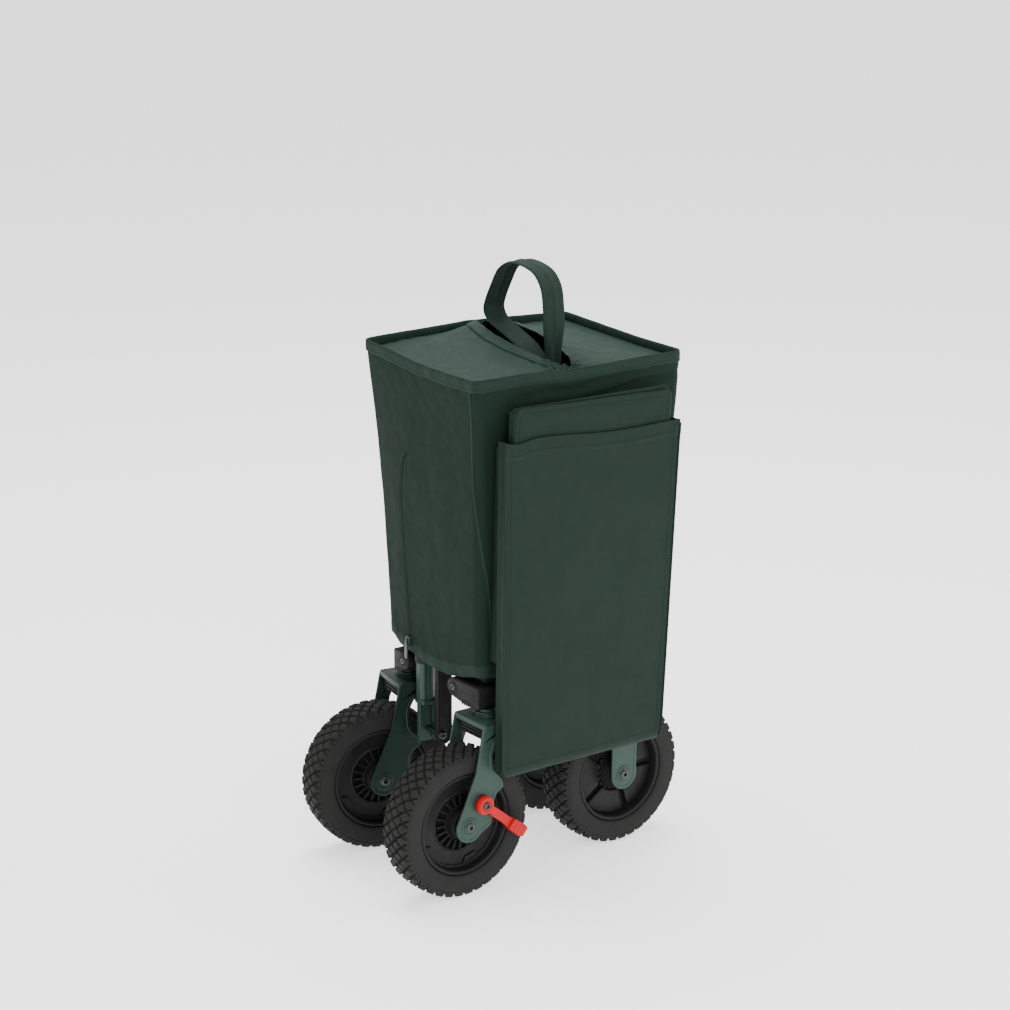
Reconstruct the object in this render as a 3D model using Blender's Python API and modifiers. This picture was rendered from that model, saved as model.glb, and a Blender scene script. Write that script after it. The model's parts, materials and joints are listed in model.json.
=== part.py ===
"""Folding camp wagon, folded upright and packed in its storage cover.

Metres, +Z up.  -X is the front, where the swivelling casters and the pull handle are.
-Y is the side with the board pocket, called "near" below; +Y is the "far" side.
All places are given about a point under the cover's centre, AXLE_Z below the axles.  The
empty "wagon" then shifts everything, so the world origin is the bottom centre of the whole
object's box.
"""
import math

import bmesh
import bpy
from mathutils import Matrix, Vector

# ---- driving dimensions (metres) ------------------------------------------------------------
GAP = 0.0003                    # clearance kept between pieces that touch

ROLL_R = 0.0970                 # wheel: floor to axle
AXLE_Z = 0.0923                 # height of all four axles
WHEEL_W = 0.050
TYRE_STEPS = 36
RIM_STEPS = 24
TREAD_R = ROLL_R / math.cos(math.pi / TYRE_STEPS)
TYRE_BORE_R = 0.0670
RIM_R = 0.0664
RIM_LIP_R = 0.0590
HUB_R = 0.0200
HUB_HALF = 0.0240
WEB_HALF = 0.0040
AXLE_R = 0.0040
AXLE_BORE_R = 0.0044

FRAME_Y = 0.0027                # the frame hangs a little off the cover's centre line
SWIVEL = {"near": (-0.1260, -0.0946), "far": (-0.1190, 0.0893)}      # swivel axes
YAW = {"near": 0.0, "far": math.radians(-10)}     # how each caster stands about its swivel
CASTER_TRAIL = 0.0490           # swivel axis to wheel axle
REAR_X = 0.0934
REAR_Y = 0.0697

PLATE = 0.0030                  # pressed steel of forks and hangers
CHEEK_GAP = 0.0045              # wheel side to fork cheek
CHEEK_OUT = WHEEL_W / 2 + CHEEK_GAP + PLATE
CROWN_TOP = 0.2225
STEM_R = 0.0120                 # swivel bearing between the fork and its corner block
AXLE_END_R = 0.0205             # round end of a fork cheek or hanger
HANGER_GAP = 0.0030
HANGER_TOP = 0.2320
HANGER_X = (0.0745, 0.1160)

BRAKE_PIVOT = (0.0196, 0.0267)  # from the wheel axle, in X and Z
BRAKE_SHAFT_R = 0.0075
BRAKE_HOLE_R = 0.0080
LEVER_ANGLE = math.radians(-40)
LEVER_LENGTH = 0.0760
LEVER_IN = CHEEK_OUT + 0.0005
LEVER_OUT = LEVER_IN + 0.0070
PAD_OUT = LEVER_IN + 0.0110
CAM_IN = 0.0115

BLOCK_Z = (0.2325, 0.2617)      # corner blocks, under the hem
BLOCK_INNER = {"near": 0.0387, "far": 0.0562}     # the far ones make room for the pull handle
BLOCK_OUTER = {"front_near": 0.1065, "front_far": 0.0900, "rear_near": 0.1065, "rear_far": 0.1065}
BLOCK_END_R = 0.0125
BLOCK_X = {
    "front_near": (-0.1455, -0.1040),
    "front_far": (-0.1400, -0.1040),
    "rear_near": (0.0850, 0.1300),
    "rear_far": (0.0850, 0.1300),
}

POST_X = 0.1150
POST_Y = 0.0830
POST_SIZE = 0.0200
POST_WALL = 0.0015
POST_Z = (0.2620, 0.6200)
SLIDER_SIZE = 0.0234
SLIDER_Z = (0.2830, 0.3130)

LINK_T = 0.0050
LINK_R = 0.0085
LAYER = 0.0055                  # link layers, either side of the lugs they hang on
PIN_R = 0.0040
PIN_HOLE_R = 0.0048
THROUGH = LAYER + LINK_T / 2 + GAP      # reach of a rivet past the lug plane
LUG_HALF = 0.0070
LOW_Z = 0.2980                  # pivot heights of the folded scissors
HIGH_Z = 0.6020
SIDE_PIVOT_X = 0.0880
END_PIVOT_Y = 0.0600
END_LINK_X = 0.0995

BUNDLE_HALF = (0.0820, 0.0640)
BUNDLE_Z = (0.2850, 0.6000)
HUB_Z = (0.2625, 0.2845)

TUBE_X = -0.1245                # pull handle, folded up beside the centre bracket
TUBE_Y = 0.0427
TUBE_R = 0.0125
TUBE_BORE_R = 0.0109
TUBE_Z = (0.2050, 0.4000)
INNER_R = 0.0100
INNER_Z = (0.2450, 0.5197)
FOOT_Z = (0.1470, 0.2047)
HINGE_Z = 0.1640
GRIP_Z = (0.5200, 0.6080)
GRIP_HALF = 0.0290
BRACKET_Y = (0.0040, 0.0140)
CARRIER_X = (-0.1105, -0.0900)
CARRIER_Z = (0.2625, 0.2790)

COVER_TOP = (0.3180, 0.2440, 0.6600)    # width X, depth Y, height Z
COVER_HEM = (0.2800, 0.2045, 0.2680)
CLOTH = 0.0025
SLOT_X = (-0.0220, 0.0220)
SLOT_Y = (-0.1000, 0.0950)

POCKET_FRONT = -0.1470
POCKET_BACK = -0.1315
POCKET_CLOTH = 0.0013
POCKET_CORNERS = ((-0.1400, 0.1520), (0.1130, 0.1520), (0.1370, 0.5710), (-0.1345, 0.5850))
BOARD_W = 0.2430
BOARD_H = 0.4600
BOARD_T = 0.0027
BOARD_COUNT = 4
BOARD_PITCH = 0.0031
BOARD_FOLD = 0.0020                     # width of the cloth that joins two panels
BOARD_TILT = math.radians(2.2)
BOARD_CORNER = (-0.1355, 0.1640)        # lower front corner

ZIP_Z = (0.2760, 0.5300)
ZIP_Y = (0.0500, 0.0530)
ZIP_TAPE_T = 0.0014                     # left between the cloth and the slider for the tape
SLIDER_BODY = (0.0050, 0.0090, 0.0130)

STRAP_W = 0.0340
STRAP_T = 0.0030
STRAP_PIVOT_Z = 0.6400
STRAP_ROUTE = (
    (-0.0400, 0.6335), (-0.0300, 0.6470), (-0.0100, 0.6615), (0.0100, 0.6700),
    (0.0314, 0.6775), (0.0530, 0.6860), (0.0632, 0.6970), (0.0612, 0.7110),
    (0.0475, 0.7355), (0.0289, 0.7580), (-0.0022, 0.7707), (-0.0390, 0.7650),
    (-0.0565, 0.7481), (-0.0625, 0.7238), (-0.0649, 0.6958), (-0.0640, 0.6750),
    (-0.0630, 0.6550), (-0.0620, 0.6335),
)

SIDE = {"near": -1, "far": 1}
UPRIGHT = Matrix.Identity(3)                                     # outline in XY, depth along Z
IN_XZ = Matrix.Rotation(math.pi / 2, 3, "X")                     # outline in XZ, depth along Y
IN_YZ = Matrix.Rotation(math.pi / 2, 3, "Z") @ IN_XZ             # outline in YZ, depth along X

# ---- scene set-up and helpers ---------------------------------------------------------------
for old in list(bpy.data.objects):
    bpy.data.objects.remove(old, do_unlink=True)

parts = bpy.data.collections.new("folding_camp_wagon")
cutters = bpy.data.collections.new("cutters")
for collection in (parts, cutters):
    bpy.context.scene.collection.children.link(collection)

wagon = bpy.data.objects.new("wagon", None)
parts.objects.link(wagon)

FINISHES = {                    # colour, roughness, metallic
    "green_paint": ((0.065, 0.115, 0.095), 0.45, 0.3),
    "black_plastic": ((0.028, 0.027, 0.027), 0.55, 0.0),
    "steel": ((0.45, 0.46, 0.46), 0.35, 1.0),
    "tyre_rubber": ((0.035, 0.035, 0.035), 0.85, 0.0),
    "green_cloth": ((0.020, 0.050, 0.040), 0.90, 0.0),
    "red_plastic": ((0.75, 0.035, 0.025), 0.45, 0.0),
}


def pivot(name, at):
    """An empty on a joint's axis, placed in the wagon's own coordinates."""
    empty = bpy.data.objects.new(name, None)
    empty.location = at
    empty.parent = wagon
    parts.objects.link(empty)
    return empty


def finish(obj, finish_name, holder=None):
    """Give an object its own material, its holder, and smooth shading where it's round."""
    colour, roughness, metallic = FINISHES[finish_name]
    material = bpy.data.materials.new(obj.name)
    material.use_nodes = True
    shader = material.node_tree.nodes["Principled BSDF"]
    shader.inputs["Base Color"].default_value = (*colour, 1)
    shader.inputs["Roughness"].default_value = roughness
    shader.inputs["Metallic"].default_value = metallic
    obj.data.materials.clear()
    obj.data.materials.append(material)
    obj.parent = holder or wagon
    if holder:
        obj.location = Vector(obj.location) - holder.location
    if obj.type == "MESH":
        obj.data.shade_smooth()
        obj.data.set_sharp_from_angle(angle=math.radians(35))
    return obj


def place(name, data, at, turn=UPRIGHT, cutter=False):
    obj = bpy.data.objects.new(name, data)
    obj.location = at
    obj.rotation_euler = turn.to_euler()
    (cutters if cutter else parts).objects.link(obj)
    if cutter:
        obj.parent = wagon
        obj.hide_render = True
        obj.display_type = "WIRE"
    return obj


def box(name, low, high, cutter=False):
    """A box between two corners; its vertices are scaled, so the object keeps scale 1."""
    mesh = bpy.data.meshes.new(name)
    shape = bmesh.new()
    bmesh.ops.create_cube(shape, size=1)
    size = [b - a for a, b in zip(low, high)]
    bmesh.ops.scale(shape, vec=size, verts=shape.verts)
    shape.to_mesh(mesh)
    shape.free()
    return place(name, mesh, [(a + b) / 2 for a, b in zip(low, high)], cutter=cutter)


def cylinder(name, at, radius, length, turn=UPRIGHT, sides=16, cutter=False):
    mesh = bpy.data.meshes.new(name)
    shape = bmesh.new()
    bmesh.ops.create_cone(
        shape, cap_ends=True, segments=sides, radius1=radius, radius2=radius, depth=length
    )
    shape.to_mesh(mesh)
    shape.free()
    return place(name, mesh, at, turn, cutter)


def turned(name, profile, at, steps, turn=UPRIGHT, closed=True):
    """A profile of (radius, height) points turned about its own Z, outer side downwards."""
    mesh = bpy.data.meshes.new(name)
    edges = [(i, i + 1) for i in range(len(profile) - 1)]
    if closed:
        edges.append((len(profile) - 1, 0))
    mesh.from_pydata([(r, 0, z) for r, z in profile], edges, [])
    obj = place(name, mesh, at, turn)
    screw = obj.modifiers.new("turn", "SCREW")
    screw.axis = "Z"
    screw.steps = steps
    screw.render_steps = steps
    screw.use_merge_vertices = True
    screw.merge_threshold = 0.00001
    return obj


def outline(name, loops, thickness, at, turn=UPRIGHT):
    """A flat outline with holes: the first loop is the edge, the others are holes."""
    curve = bpy.data.curves.new(name, "CURVE")
    curve.dimensions = "2D"
    curve.fill_mode = "BOTH"
    curve.extrude = thickness / 2
    for loop in loops:
        spline = curve.splines.new("POLY")
        spline.points.add(len(loop) - 1)
        for point, (u, v) in zip(spline.points, loop):
            point.co = (u, v, 0, 1)
        spline.use_cyclic_u = True
    return place(name, curve, at, turn)


def to_mesh(obj):
    """Turn a curve into a welded mesh, so that it can be cut or joined."""
    bpy.context.view_layer.update()
    graph = bpy.context.evaluated_depsgraph_get()
    mesh = bpy.data.meshes.new_from_object(obj.evaluated_get(graph))
    shape = bmesh.new()
    shape.from_mesh(mesh)
    bmesh.ops.remove_doubles(shape, verts=shape.verts, dist=0.00001)
    shape.to_mesh(mesh)
    shape.free()
    name, matrix = obj.name, obj.matrix_world.copy()
    bpy.data.objects.remove(obj, do_unlink=True)
    solid = bpy.data.objects.new(name, mesh)
    solid.matrix_world = matrix
    parts.objects.link(solid)
    return solid


def combine(obj, other, operation):
    """Cut another object from this one, or join it on, and keep the other out of the model."""
    if other.name in parts.objects:
        parts.objects.unlink(other)
        cutters.objects.link(other)
        other.parent = wagon
        other.hide_render = True
        other.display_type = "WIRE"
    boolean = obj.modifiers.new(operation.lower(), "BOOLEAN")
    boolean.operation = operation
    boolean.solver = "EXACT"
    boolean.object = other
    return obj


def arc(cx, cz, radius, start, end, steps):
    """Points on an arc, angles in degrees."""
    angles = [math.radians(start + (end - start) * i / steps) for i in range(steps + 1)]
    return [(cx + radius * math.cos(a), cz + radius * math.sin(a)) for a in angles]


def circle(cx, cz, radius, sides):
    return arc(cx, cz, radius, 0, 360 - 360 / sides, sides - 1)


# ---- wheels ---------------------------------------------------------------------------------
HALF_W = WHEEL_W / 2
TYRE_PROFILE = (
    (TREAD_R, 0.0180), (TREAD_R, -0.0180), (0.0942, -0.0225), (0.0885, -HALF_W),
    (0.0740, -HALF_W), (TYRE_BORE_R, -0.0225), (TYRE_BORE_R, 0.0225), (0.0740, HALF_W),
    (0.0885, HALF_W), (0.0942, 0.0225),
)
RIM_PROFILE = (
    (RIM_R, 0.0215), (RIM_R, -0.0215), (RIM_LIP_R, -0.0215), (RIM_LIP_R - 0.003, -WEB_HALF),
    (HUB_R + 0.003, -WEB_HALF), (HUB_R, -HUB_HALF), (AXLE_BORE_R, -HUB_HALF),
    (AXLE_BORE_R, HUB_HALF), (HUB_R, HUB_HALF), (HUB_R + 0.003, WEB_HALF),
    (RIM_LIP_R - 0.003, WEB_HALF), (RIM_LIP_R, 0.0215),
)


def wheel(name, x, y):
    """A wheel: tyre and moulded rim, with one flat of the tread facing the floor."""
    axle = pivot(f"{name}_wheel_axis", (x, y, AXLE_Z))
    facet = Matrix.Rotation(math.pi / TYRE_STEPS, 3, "Y") @ IN_XZ
    tyre = turned(f"tyre_{name}", TYRE_PROFILE, (x, y, AXLE_Z), TYRE_STEPS, facet)
    rim = turned(f"rim_{name}", RIM_PROFILE, (x, y, AXLE_Z), RIM_STEPS, IN_XZ)
    finish(tyre, "tyre_rubber", axle)
    finish(rim, "black_plastic", axle)


def bolt_profile(half, head_r, head_t):
    """Half outline of a bolt with a head and a nut, centred on its length."""
    top = half + head_t
    return ((0, top), (head_r, top), (head_r, half), (AXLE_R, half),
            (AXLE_R, -half), (head_r, -half), (head_r, -top), (0, -top))


# ---- casters --------------------------------------------------------------------------------
def fork_outline():
    """Side of a fork about the wheel axle: crown on top, round axle end at the bottom."""
    crown = CROWN_TOP - AXLE_Z
    return [
        (0.0220, crown), (0.0172, 0.1055), (0.0094, 0.0690), (-0.0060, 0.0340),
        *arc(0, 0, AXLE_END_R, 168, 325, 9),
        (0.0330, -0.0040), (0.0365, 0.0120), (0.0370, 0.0280), (0.0420, 0.0370),
        (0.0520, 0.0420), (0.0500, 0.0520), (0.0360, 0.0680), (0.0345, 0.0900),
        (0.0420, 0.1060), (0.0640, 0.1160), (0.0680, crown),
    ]


def caster(name):
    """Fork, plastic insert, axle bolt, wheel and foot brake of one swivelling caster."""
    side = SIDE[name]
    swivel_x, y = SWIVEL[name]
    axle_x = swivel_x - CASTER_TRAIL
    swivel = pivot(f"{name}_swivel_axis", (swivel_x, y, CROWN_TOP))

    fork = to_mesh(outline(f"fork_{name}", [fork_outline()], 2 * CHEEK_OUT, (axle_x, y, AXLE_Z), IN_XZ))
    inner = CHEEK_OUT - PLATE
    space = box(
        f"fork_space_{name}", (axle_x - 0.1, y - inner, -0.1), (axle_x + 0.1, y + inner, CROWN_TOP - PLATE),
        cutter=True,
    )
    bore = cylinder(f"axle_bore_{name}", (axle_x, y, AXLE_Z), AXLE_BORE_R, 0.2, IN_XZ, cutter=True)
    brake_x, brake_z = axle_x + BRAKE_PIVOT[0], AXLE_Z + BRAKE_PIVOT[1]
    brake_bore = cylinder(
        f"brake_bore_{name}", (brake_x, y + side * CHEEK_OUT, brake_z), BRAKE_HOLE_R, 0.02, IN_XZ, cutter=True
    )
    for cutter in (space, bore, brake_bore):
        combine(fork, cutter, "DIFFERENCE")
    stem = (CROWN_TOP - 0.001, BLOCK_Z[0] - GAP)
    combine(fork, cylinder(
        f"swivel_stem_{name}", (swivel_x, y, sum(stem) / 2), STEM_R, stem[1] - stem[0]
    ), "UNION")
    finish(fork, "green_paint", swivel)

    insert = box(
        f"fork_insert_{name}", (axle_x + 0.0240, y - 0.0240, 0.1990), (axle_x + 0.0640, y + 0.0240, 0.2190)
    )
    finish(insert, "black_plastic", swivel)
    axle = turned(
        f"axle_{name}", bolt_profile(CHEEK_OUT + GAP, 0.0065, 0.0025), (axle_x, y, AXLE_Z), 16, IN_XZ,
        closed=False,
    )
    finish(axle, "steel", swivel)
    wheel(f"front_{name}", axle_x, y)
    brake(name, side, brake_x, y, brake_z)


def brake(name, side, x, y, z):
    """Red foot lever with its shaft through the fork cheek, the cam on its end, and its bolt."""
    axis = pivot(f"{name}_brake_axis", (x, y, z))
    lean = Matrix.Rotation(-LEVER_ANGLE, 3, "Y") @ IN_XZ
    arm = [*arc(0, 0, 0.0120, 28, 332, 12), (0.0240, -0.0055), (0.0560, -0.0060), (0.0560, 0.0060),
           (0.0240, 0.0055)]
    lever = to_mesh(outline(
        f"brake_lever_{name}", [arm], LEVER_OUT - LEVER_IN, (x, y + side * (LEVER_IN + LEVER_OUT) / 2, z), lean
    ))
    pad_outline = [(0.0500, -0.0080), (LEVER_LENGTH, -0.0080), (LEVER_LENGTH, 0.0080), (0.0500, 0.0080)]
    pad = to_mesh(outline(
        f"brake_pad_{name}", [pad_outline], PAD_OUT - LEVER_IN + 0.0001,
        (x, y + side * (LEVER_IN + PAD_OUT) / 2, z), lean
    ))
    shaft = cylinder(
        f"brake_shaft_{name}", (x, y + side * (CAM_IN + LEVER_IN + 0.003) / 2, z), BRAKE_SHAFT_R,
        LEVER_IN + 0.003 - CAM_IN, IN_XZ,
    )
    cam_outline = [*arc(0, 0, 0.0085, 60, 300, 8), *arc(0.0060, 0, 0.0055, -60, 60, 4)]
    cam = to_mesh(outline(
        f"brake_cam_{name}", [cam_outline], 0.0050, (x, y + side * (CAM_IN + 0.0024), z), lean
    ))
    for piece in (pad, shaft, cam):
        combine(lever, piece, "UNION")
    finish(lever, "red_plastic", axis)


def turn_about(at, angle, pieces):
    """Turn joint axes, with the pieces they hold, and cutters together about an upright line."""
    turn = Matrix.Rotation(angle, 3, "Z")
    for obj in pieces:
        if obj.parent == wagon:
            obj.location = at + turn @ (obj.location - at)
            obj.rotation_euler = (turn @ obj.rotation_euler.to_matrix()).to_euler()


for caster_name in SIDE:
    before = set(bpy.data.objects)
    caster(caster_name)
    turn_about(Vector((*SWIVEL[caster_name], 0)), YAW[caster_name], set(bpy.data.objects) - before)

# ---- rear wheels in their hangers -----------------------------------------------------------
hanger_in = WHEEL_W / 2 + HANGER_GAP
for name, side in SIDE.items():
    y = FRAME_Y + side * REAR_Y
    low_end = arc(REAR_X, AXLE_Z, AXLE_END_R, 175, 370, 10)
    edge = [(HANGER_X[0], HANGER_TOP), *low_end, (HANGER_X[1], HANGER_TOP)]
    hanger = to_mesh(outline(f"rear_hanger_{name}", [edge], 2 * (hanger_in + PLATE), (0, y, 0), IN_XZ))
    space = box(
        f"hanger_space_{name}", (0, y - hanger_in, -0.1), (0.2, y + hanger_in, HANGER_TOP - PLATE), cutter=True
    )
    bore = cylinder(f"hanger_bore_{name}", (REAR_X, y, AXLE_Z), AXLE_BORE_R, 0.2, IN_XZ, cutter=True)
    for cutter in (space, bore):
        combine(hanger, cutter, "DIFFERENCE")
    finish(hanger, "green_paint")
    axle = turned(
        f"rear_axle_{name}", bolt_profile(hanger_in + PLATE + GAP, 0.0065, 0.0025), (REAR_X, y, AXLE_Z), 16,
        IN_XZ, closed=False,
    )
    finish(axle, "steel")
    wheel(f"rear_{name}", REAR_X, y)


# ---- corner blocks, posts and sliders -------------------------------------------------------
def block_outline(corner, name, side):
    """Front of a corner block: square outer end, round inner end that holds a screw."""
    low, high = BLOCK_Z
    centre = high - BLOCK_END_R
    points = [
        (BLOCK_OUTER[corner], high), (BLOCK_OUTER[corner], low), (0.0760, low),
        *arc(BLOCK_INNER[name] + BLOCK_END_R, centre, BLOCK_END_R, 250, 90, 8),
    ]
    return [(side * u, v) for u, v in points]


def square(half):
    return [(-half, -half), (half, -half), (half, half), (-half, half)]


def square_tube(name, half, hollow, span, x, y):
    tube = outline(name, [square(half), square(hollow)], span[1] - span[0], (x, y, sum(span) / 2))
    return to_mesh(tube)


def add_lugs(holder, label, root_x, x_sign, side, z):
    """Join on the two lugs that a side link and an end link pivot on."""
    reach = root_x - SIDE_PIVOT_X
    edge = [(-LUG_HALF, -LUG_HALF), (reach, -LUG_HALF), (reach, LUG_HALF), (-LUG_HALF, LUG_HALF)]
    edge = [(x_sign * u, v) for u, v in edge]
    side_lug = outline(
        f"side_lug_{label}", [edge, circle(0, 0, PIN_HOLE_R, 8)], LINK_T,
        (x_sign * SIDE_PIVOT_X, FRAME_Y + side * POST_Y, z), IN_XZ,
    )
    reach = POST_Y - END_PIVOT_Y
    half = LUG_HALF - 0.0005
    edge = [(-half, -half), (reach, -half), (reach, half), (-half, half)]
    edge = [(side * u, v) for u, v in edge]
    end_lug = outline(
        f"end_lug_{label}", [edge, circle(0, 0, PIN_HOLE_R, 8)], LINK_T,
        (x_sign * END_LINK_X, FRAME_Y + side * END_PIVOT_Y, z), IN_YZ,
    )
    for lug in (side_lug, end_lug):
        combine(holder, to_mesh(lug), "UNION")


for end, x_sign in (("front", -1), ("rear", 1)):
    for name, side in SIDE.items():
        corner = f"{end}_{name}"
        x_low, x_high = BLOCK_X[corner]
        block = outline(
            f"corner_block_{corner}", [block_outline(corner, name, side)], x_high - x_low,
            ((x_low + x_high) / 2, FRAME_Y, 0), IN_YZ,
        )
        finish(block, "black_plastic")
        x, y = x_sign * POST_X, FRAME_Y + side * POST_Y
        half = POST_SIZE / 2
        post = square_tube(f"corner_post_{corner}", half, half - POST_WALL, POST_Z, x, y)
        add_lugs(post, f"top_{corner}", POST_X - half + 0.0010, x_sign, side, HIGH_Z)
        finish(post, "green_paint")
        ring = SLIDER_SIZE / 2
        slider = square_tube(f"post_slider_{corner}", ring, half + GAP, SLIDER_Z, x, y)
        add_lugs(slider, f"low_{corner}", POST_X - ring + 0.0010, x_sign, side, LOW_Z)
        finish(slider, "black_plastic")


# ---- folded scissor links -------------------------------------------------------------------
def link(name, plane, layer, start, end, along_x, holes, rivets):
    """A flat bar between two pivots, with holes and rivets at "low", "mid" or "high".

    plane is the lug plane across the bar, and layer is the bar's place beside it, as -1 or 1.
    along_x is True for a side link in XZ and False for an end link in YZ.
    """
    du, dv = end[0] - start[0], end[1] - start[1]
    half = math.hypot(du, dv) / 2
    stations = {"low": -half, "mid": 0, "high": half}
    edge = [*arc(0, half, LINK_R, 0, 180, 5), *arc(0, -half, LINK_R, 180, 360, 5)]
    loops = [edge, *(circle(0, stations[hole], PIN_HOLE_R, 8) for hole in holes)]
    centre = ((start[0] + end[0]) / 2, (start[1] + end[1]) / 2)
    depth = plane + layer * LAYER
    if along_x:
        at = (centre[0], depth, centre[1])
        turn = Matrix.Rotation(math.atan2(du, dv), 3, "Y") @ IN_XZ
    else:
        at = (depth, FRAME_Y + centre[0], centre[1])
        turn = Matrix.Rotation(-math.atan2(du, dv), 3, "X") @ IN_YZ
    bar = to_mesh(outline(name, loops, LINK_T, at, turn))
    for station, reach in rivets.items():
        share = stations[station] / half
        u = centre[0] + share * du / 2
        v = centre[1] + share * dv / 2
        middle = plane + layer * (LAYER - reach) / 2
        spot = (u, middle, v) if along_x else (middle, FRAME_Y + u, v)
        facing = IN_XZ if along_x else IN_YZ
        rivet = cylinder(f"{name}_rivet_{station}", spot, PIN_R, LAYER + reach, facing, 8)
        combine(bar, rivet, "UNION")
    return finish(bar, "green_paint")


SHORT = LINK_T / 2 + GAP
for name, side in SIDE.items():
    plane = FRAME_Y + side * POST_Y
    inner_ends = {"front": ("low", ("mid", "high")), "rear": ("high", ("low", "mid"))}
    for end, x in (("front", -SIDE_PIVOT_X), ("rear", 0)):
        low_x, high_x = x, x + SIDE_PIVOT_X
        link(f"side_link_{name}_{end}_outer", plane, side, (high_x, LOW_Z), (low_x, HIGH_Z), True, (),
             {"low": THROUGH, "mid": THROUGH, "high": THROUGH})
        rivet, holes = inner_ends[end]
        link(f"side_link_{name}_{end}_inner", plane, -side, (low_x, LOW_Z), (high_x, HIGH_Z), True, holes,
             {rivet: SHORT})

for end, x_sign in (("front", -1), ("rear", 1)):
    plane = x_sign * END_LINK_X
    link(f"end_link_{end}_outer", plane, x_sign, (END_PIVOT_Y, LOW_Z), (-END_PIVOT_Y, HIGH_Z), False, (),
         {"low": SHORT, "mid": THROUGH, "high": SHORT})
    link(f"end_link_{end}_inner", plane, -x_sign, (-END_PIVOT_Y, LOW_Z), (END_PIVOT_Y, HIGH_Z), False,
         ("mid",), {"low": SHORT, "high": SHORT})

# ---- folded tub, floor hub and strap anchor -------------------------------------------------
bundle = box(
    "tub_bundle", (-BUNDLE_HALF[0], FRAME_Y - BUNDLE_HALF[1], BUNDLE_Z[0]),
    (BUNDLE_HALF[0], FRAME_Y + BUNDLE_HALF[1], BUNDLE_Z[1]),
)
bevel = bundle.modifiers.new("soft", "BEVEL")
bevel.width = 0.012
bevel.segments = 2
finish(bundle, "green_cloth")
finish(cylinder("floor_hub", (0, FRAME_Y, sum(HUB_Z) / 2), 0.035, HUB_Z[1] - HUB_Z[0] - GAP, sides=20),
       "black_plastic")
anchor = box("strap_anchor", (-0.0095, -0.0700, BUNDLE_Z[1] + GAP), (0.0095, -0.0320, 0.6305))
finish(anchor, "black_plastic")

# ---- pull handle ----------------------------------------------------------------------------
carrier = box(
    "handle_carrier", (CARRIER_X[0], FRAME_Y - 0.0720, CARRIER_Z[0]), (CARRIER_X[1], FRAME_Y + 0.0720, CARRIER_Z[1])
)
arm = box("bracket_arm", (-0.1310, BRACKET_Y[0], 0.1500), (CARRIER_X[0] + 0.002, BRACKET_Y[1], 0.2780))
combine(carrier, arm, "UNION")
hinge_bore = cylinder("hinge_bore", (TUBE_X, TUBE_Y - 0.02, HINGE_Z), PIN_HOLE_R, 0.1, IN_XZ, 12, cutter=True)
combine(carrier, hinge_bore, "DIFFERENCE")
finish(carrier, "black_plastic")

foot_plan = [
    (0.0120, -0.0125), (0.0120, 0.0125), (0.0070, 0.0125), (0.0070, 0.0050), (-0.0115, 0.0040),
    (-0.0115, -0.0040), (0.0070, -0.0050), (0.0070, -0.0125),
]
foot = to_mesh(outline(
    "handle_foot", [foot_plan], FOOT_Z[1] - FOOT_Z[0], (TUBE_X, TUBE_Y, sum(FOOT_Z) / 2)
))
combine(foot, hinge_bore, "DIFFERENCE")
finish(foot, "green_paint")
outer_tube = outline(
    "handle_outer_tube", [circle(0, 0, TUBE_R, 24), circle(0, 0, TUBE_BORE_R, 24)], TUBE_Z[1] - TUBE_Z[0],
    (TUBE_X, TUBE_Y, sum(TUBE_Z) / 2),
)
finish(outer_tube, "green_paint")
pin_y = (BRACKET_Y[0] - 0.002, TUBE_Y + 0.0080)
hinge_pin = cylinder(
    "handle_hinge_pin", (TUBE_X, sum(pin_y) / 2, HINGE_Z), PIN_R, pin_y[1] - pin_y[0], IN_XZ, 12
)
finish(hinge_pin, "steel")

telescope = pivot("telescope_axis", (TUBE_X, TUBE_Y, INNER_Z[0]))
inner_tube = outline(
    "handle_inner_tube", [circle(0, 0, INNER_R, 20), circle(0, 0, INNER_R - 0.0015, 20)],
    INNER_Z[1] - INNER_Z[0], (TUBE_X, TUBE_Y, sum(INNER_Z) / 2),
)
finish(inner_tube, "steel", telescope)

grip_mid = sum(GRIP_Z) / 2
grip_reach = (GRIP_Z[1] - GRIP_Z[0]) / 2
top_centre = grip_reach - GRIP_HALF
edge = [
    *arc(0, top_centre, GRIP_HALF, 0, 180, 8), (-GRIP_HALF, -0.0120), (-0.0130, -grip_reach),
    (0.0130, -grip_reach), (GRIP_HALF, -0.0120),
]
finger_gap = [
    *arc(0, top_centre, GRIP_HALF - 0.0095, 0, 180, 8), (-0.0195, -0.0080), (0.0195, -0.0080),
]
grip = to_mesh(outline("handle_grip", [edge, finger_gap], 0.0200, (TUBE_X, TUBE_Y, grip_mid), IN_YZ))
button_z = grip_mid - 0.0290
button_y = TUBE_Y - 0.0150
pocket_bore = cylinder("button_bore", (TUBE_X, button_y, button_z), 0.0068, 0.0220, IN_XZ, 16, cutter=True)
combine(grip, pocket_bore, "DIFFERENCE")
finish(grip, "black_plastic", telescope)
button_axis = pivot("button_axis", (TUBE_X, button_y, button_z))
button = cylinder("handle_button", (TUBE_X, button_y - 0.0030, button_z), 0.0062, 0.0100, IN_XZ, 16)
finish(button, "red_plastic", button_axis)

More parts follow.
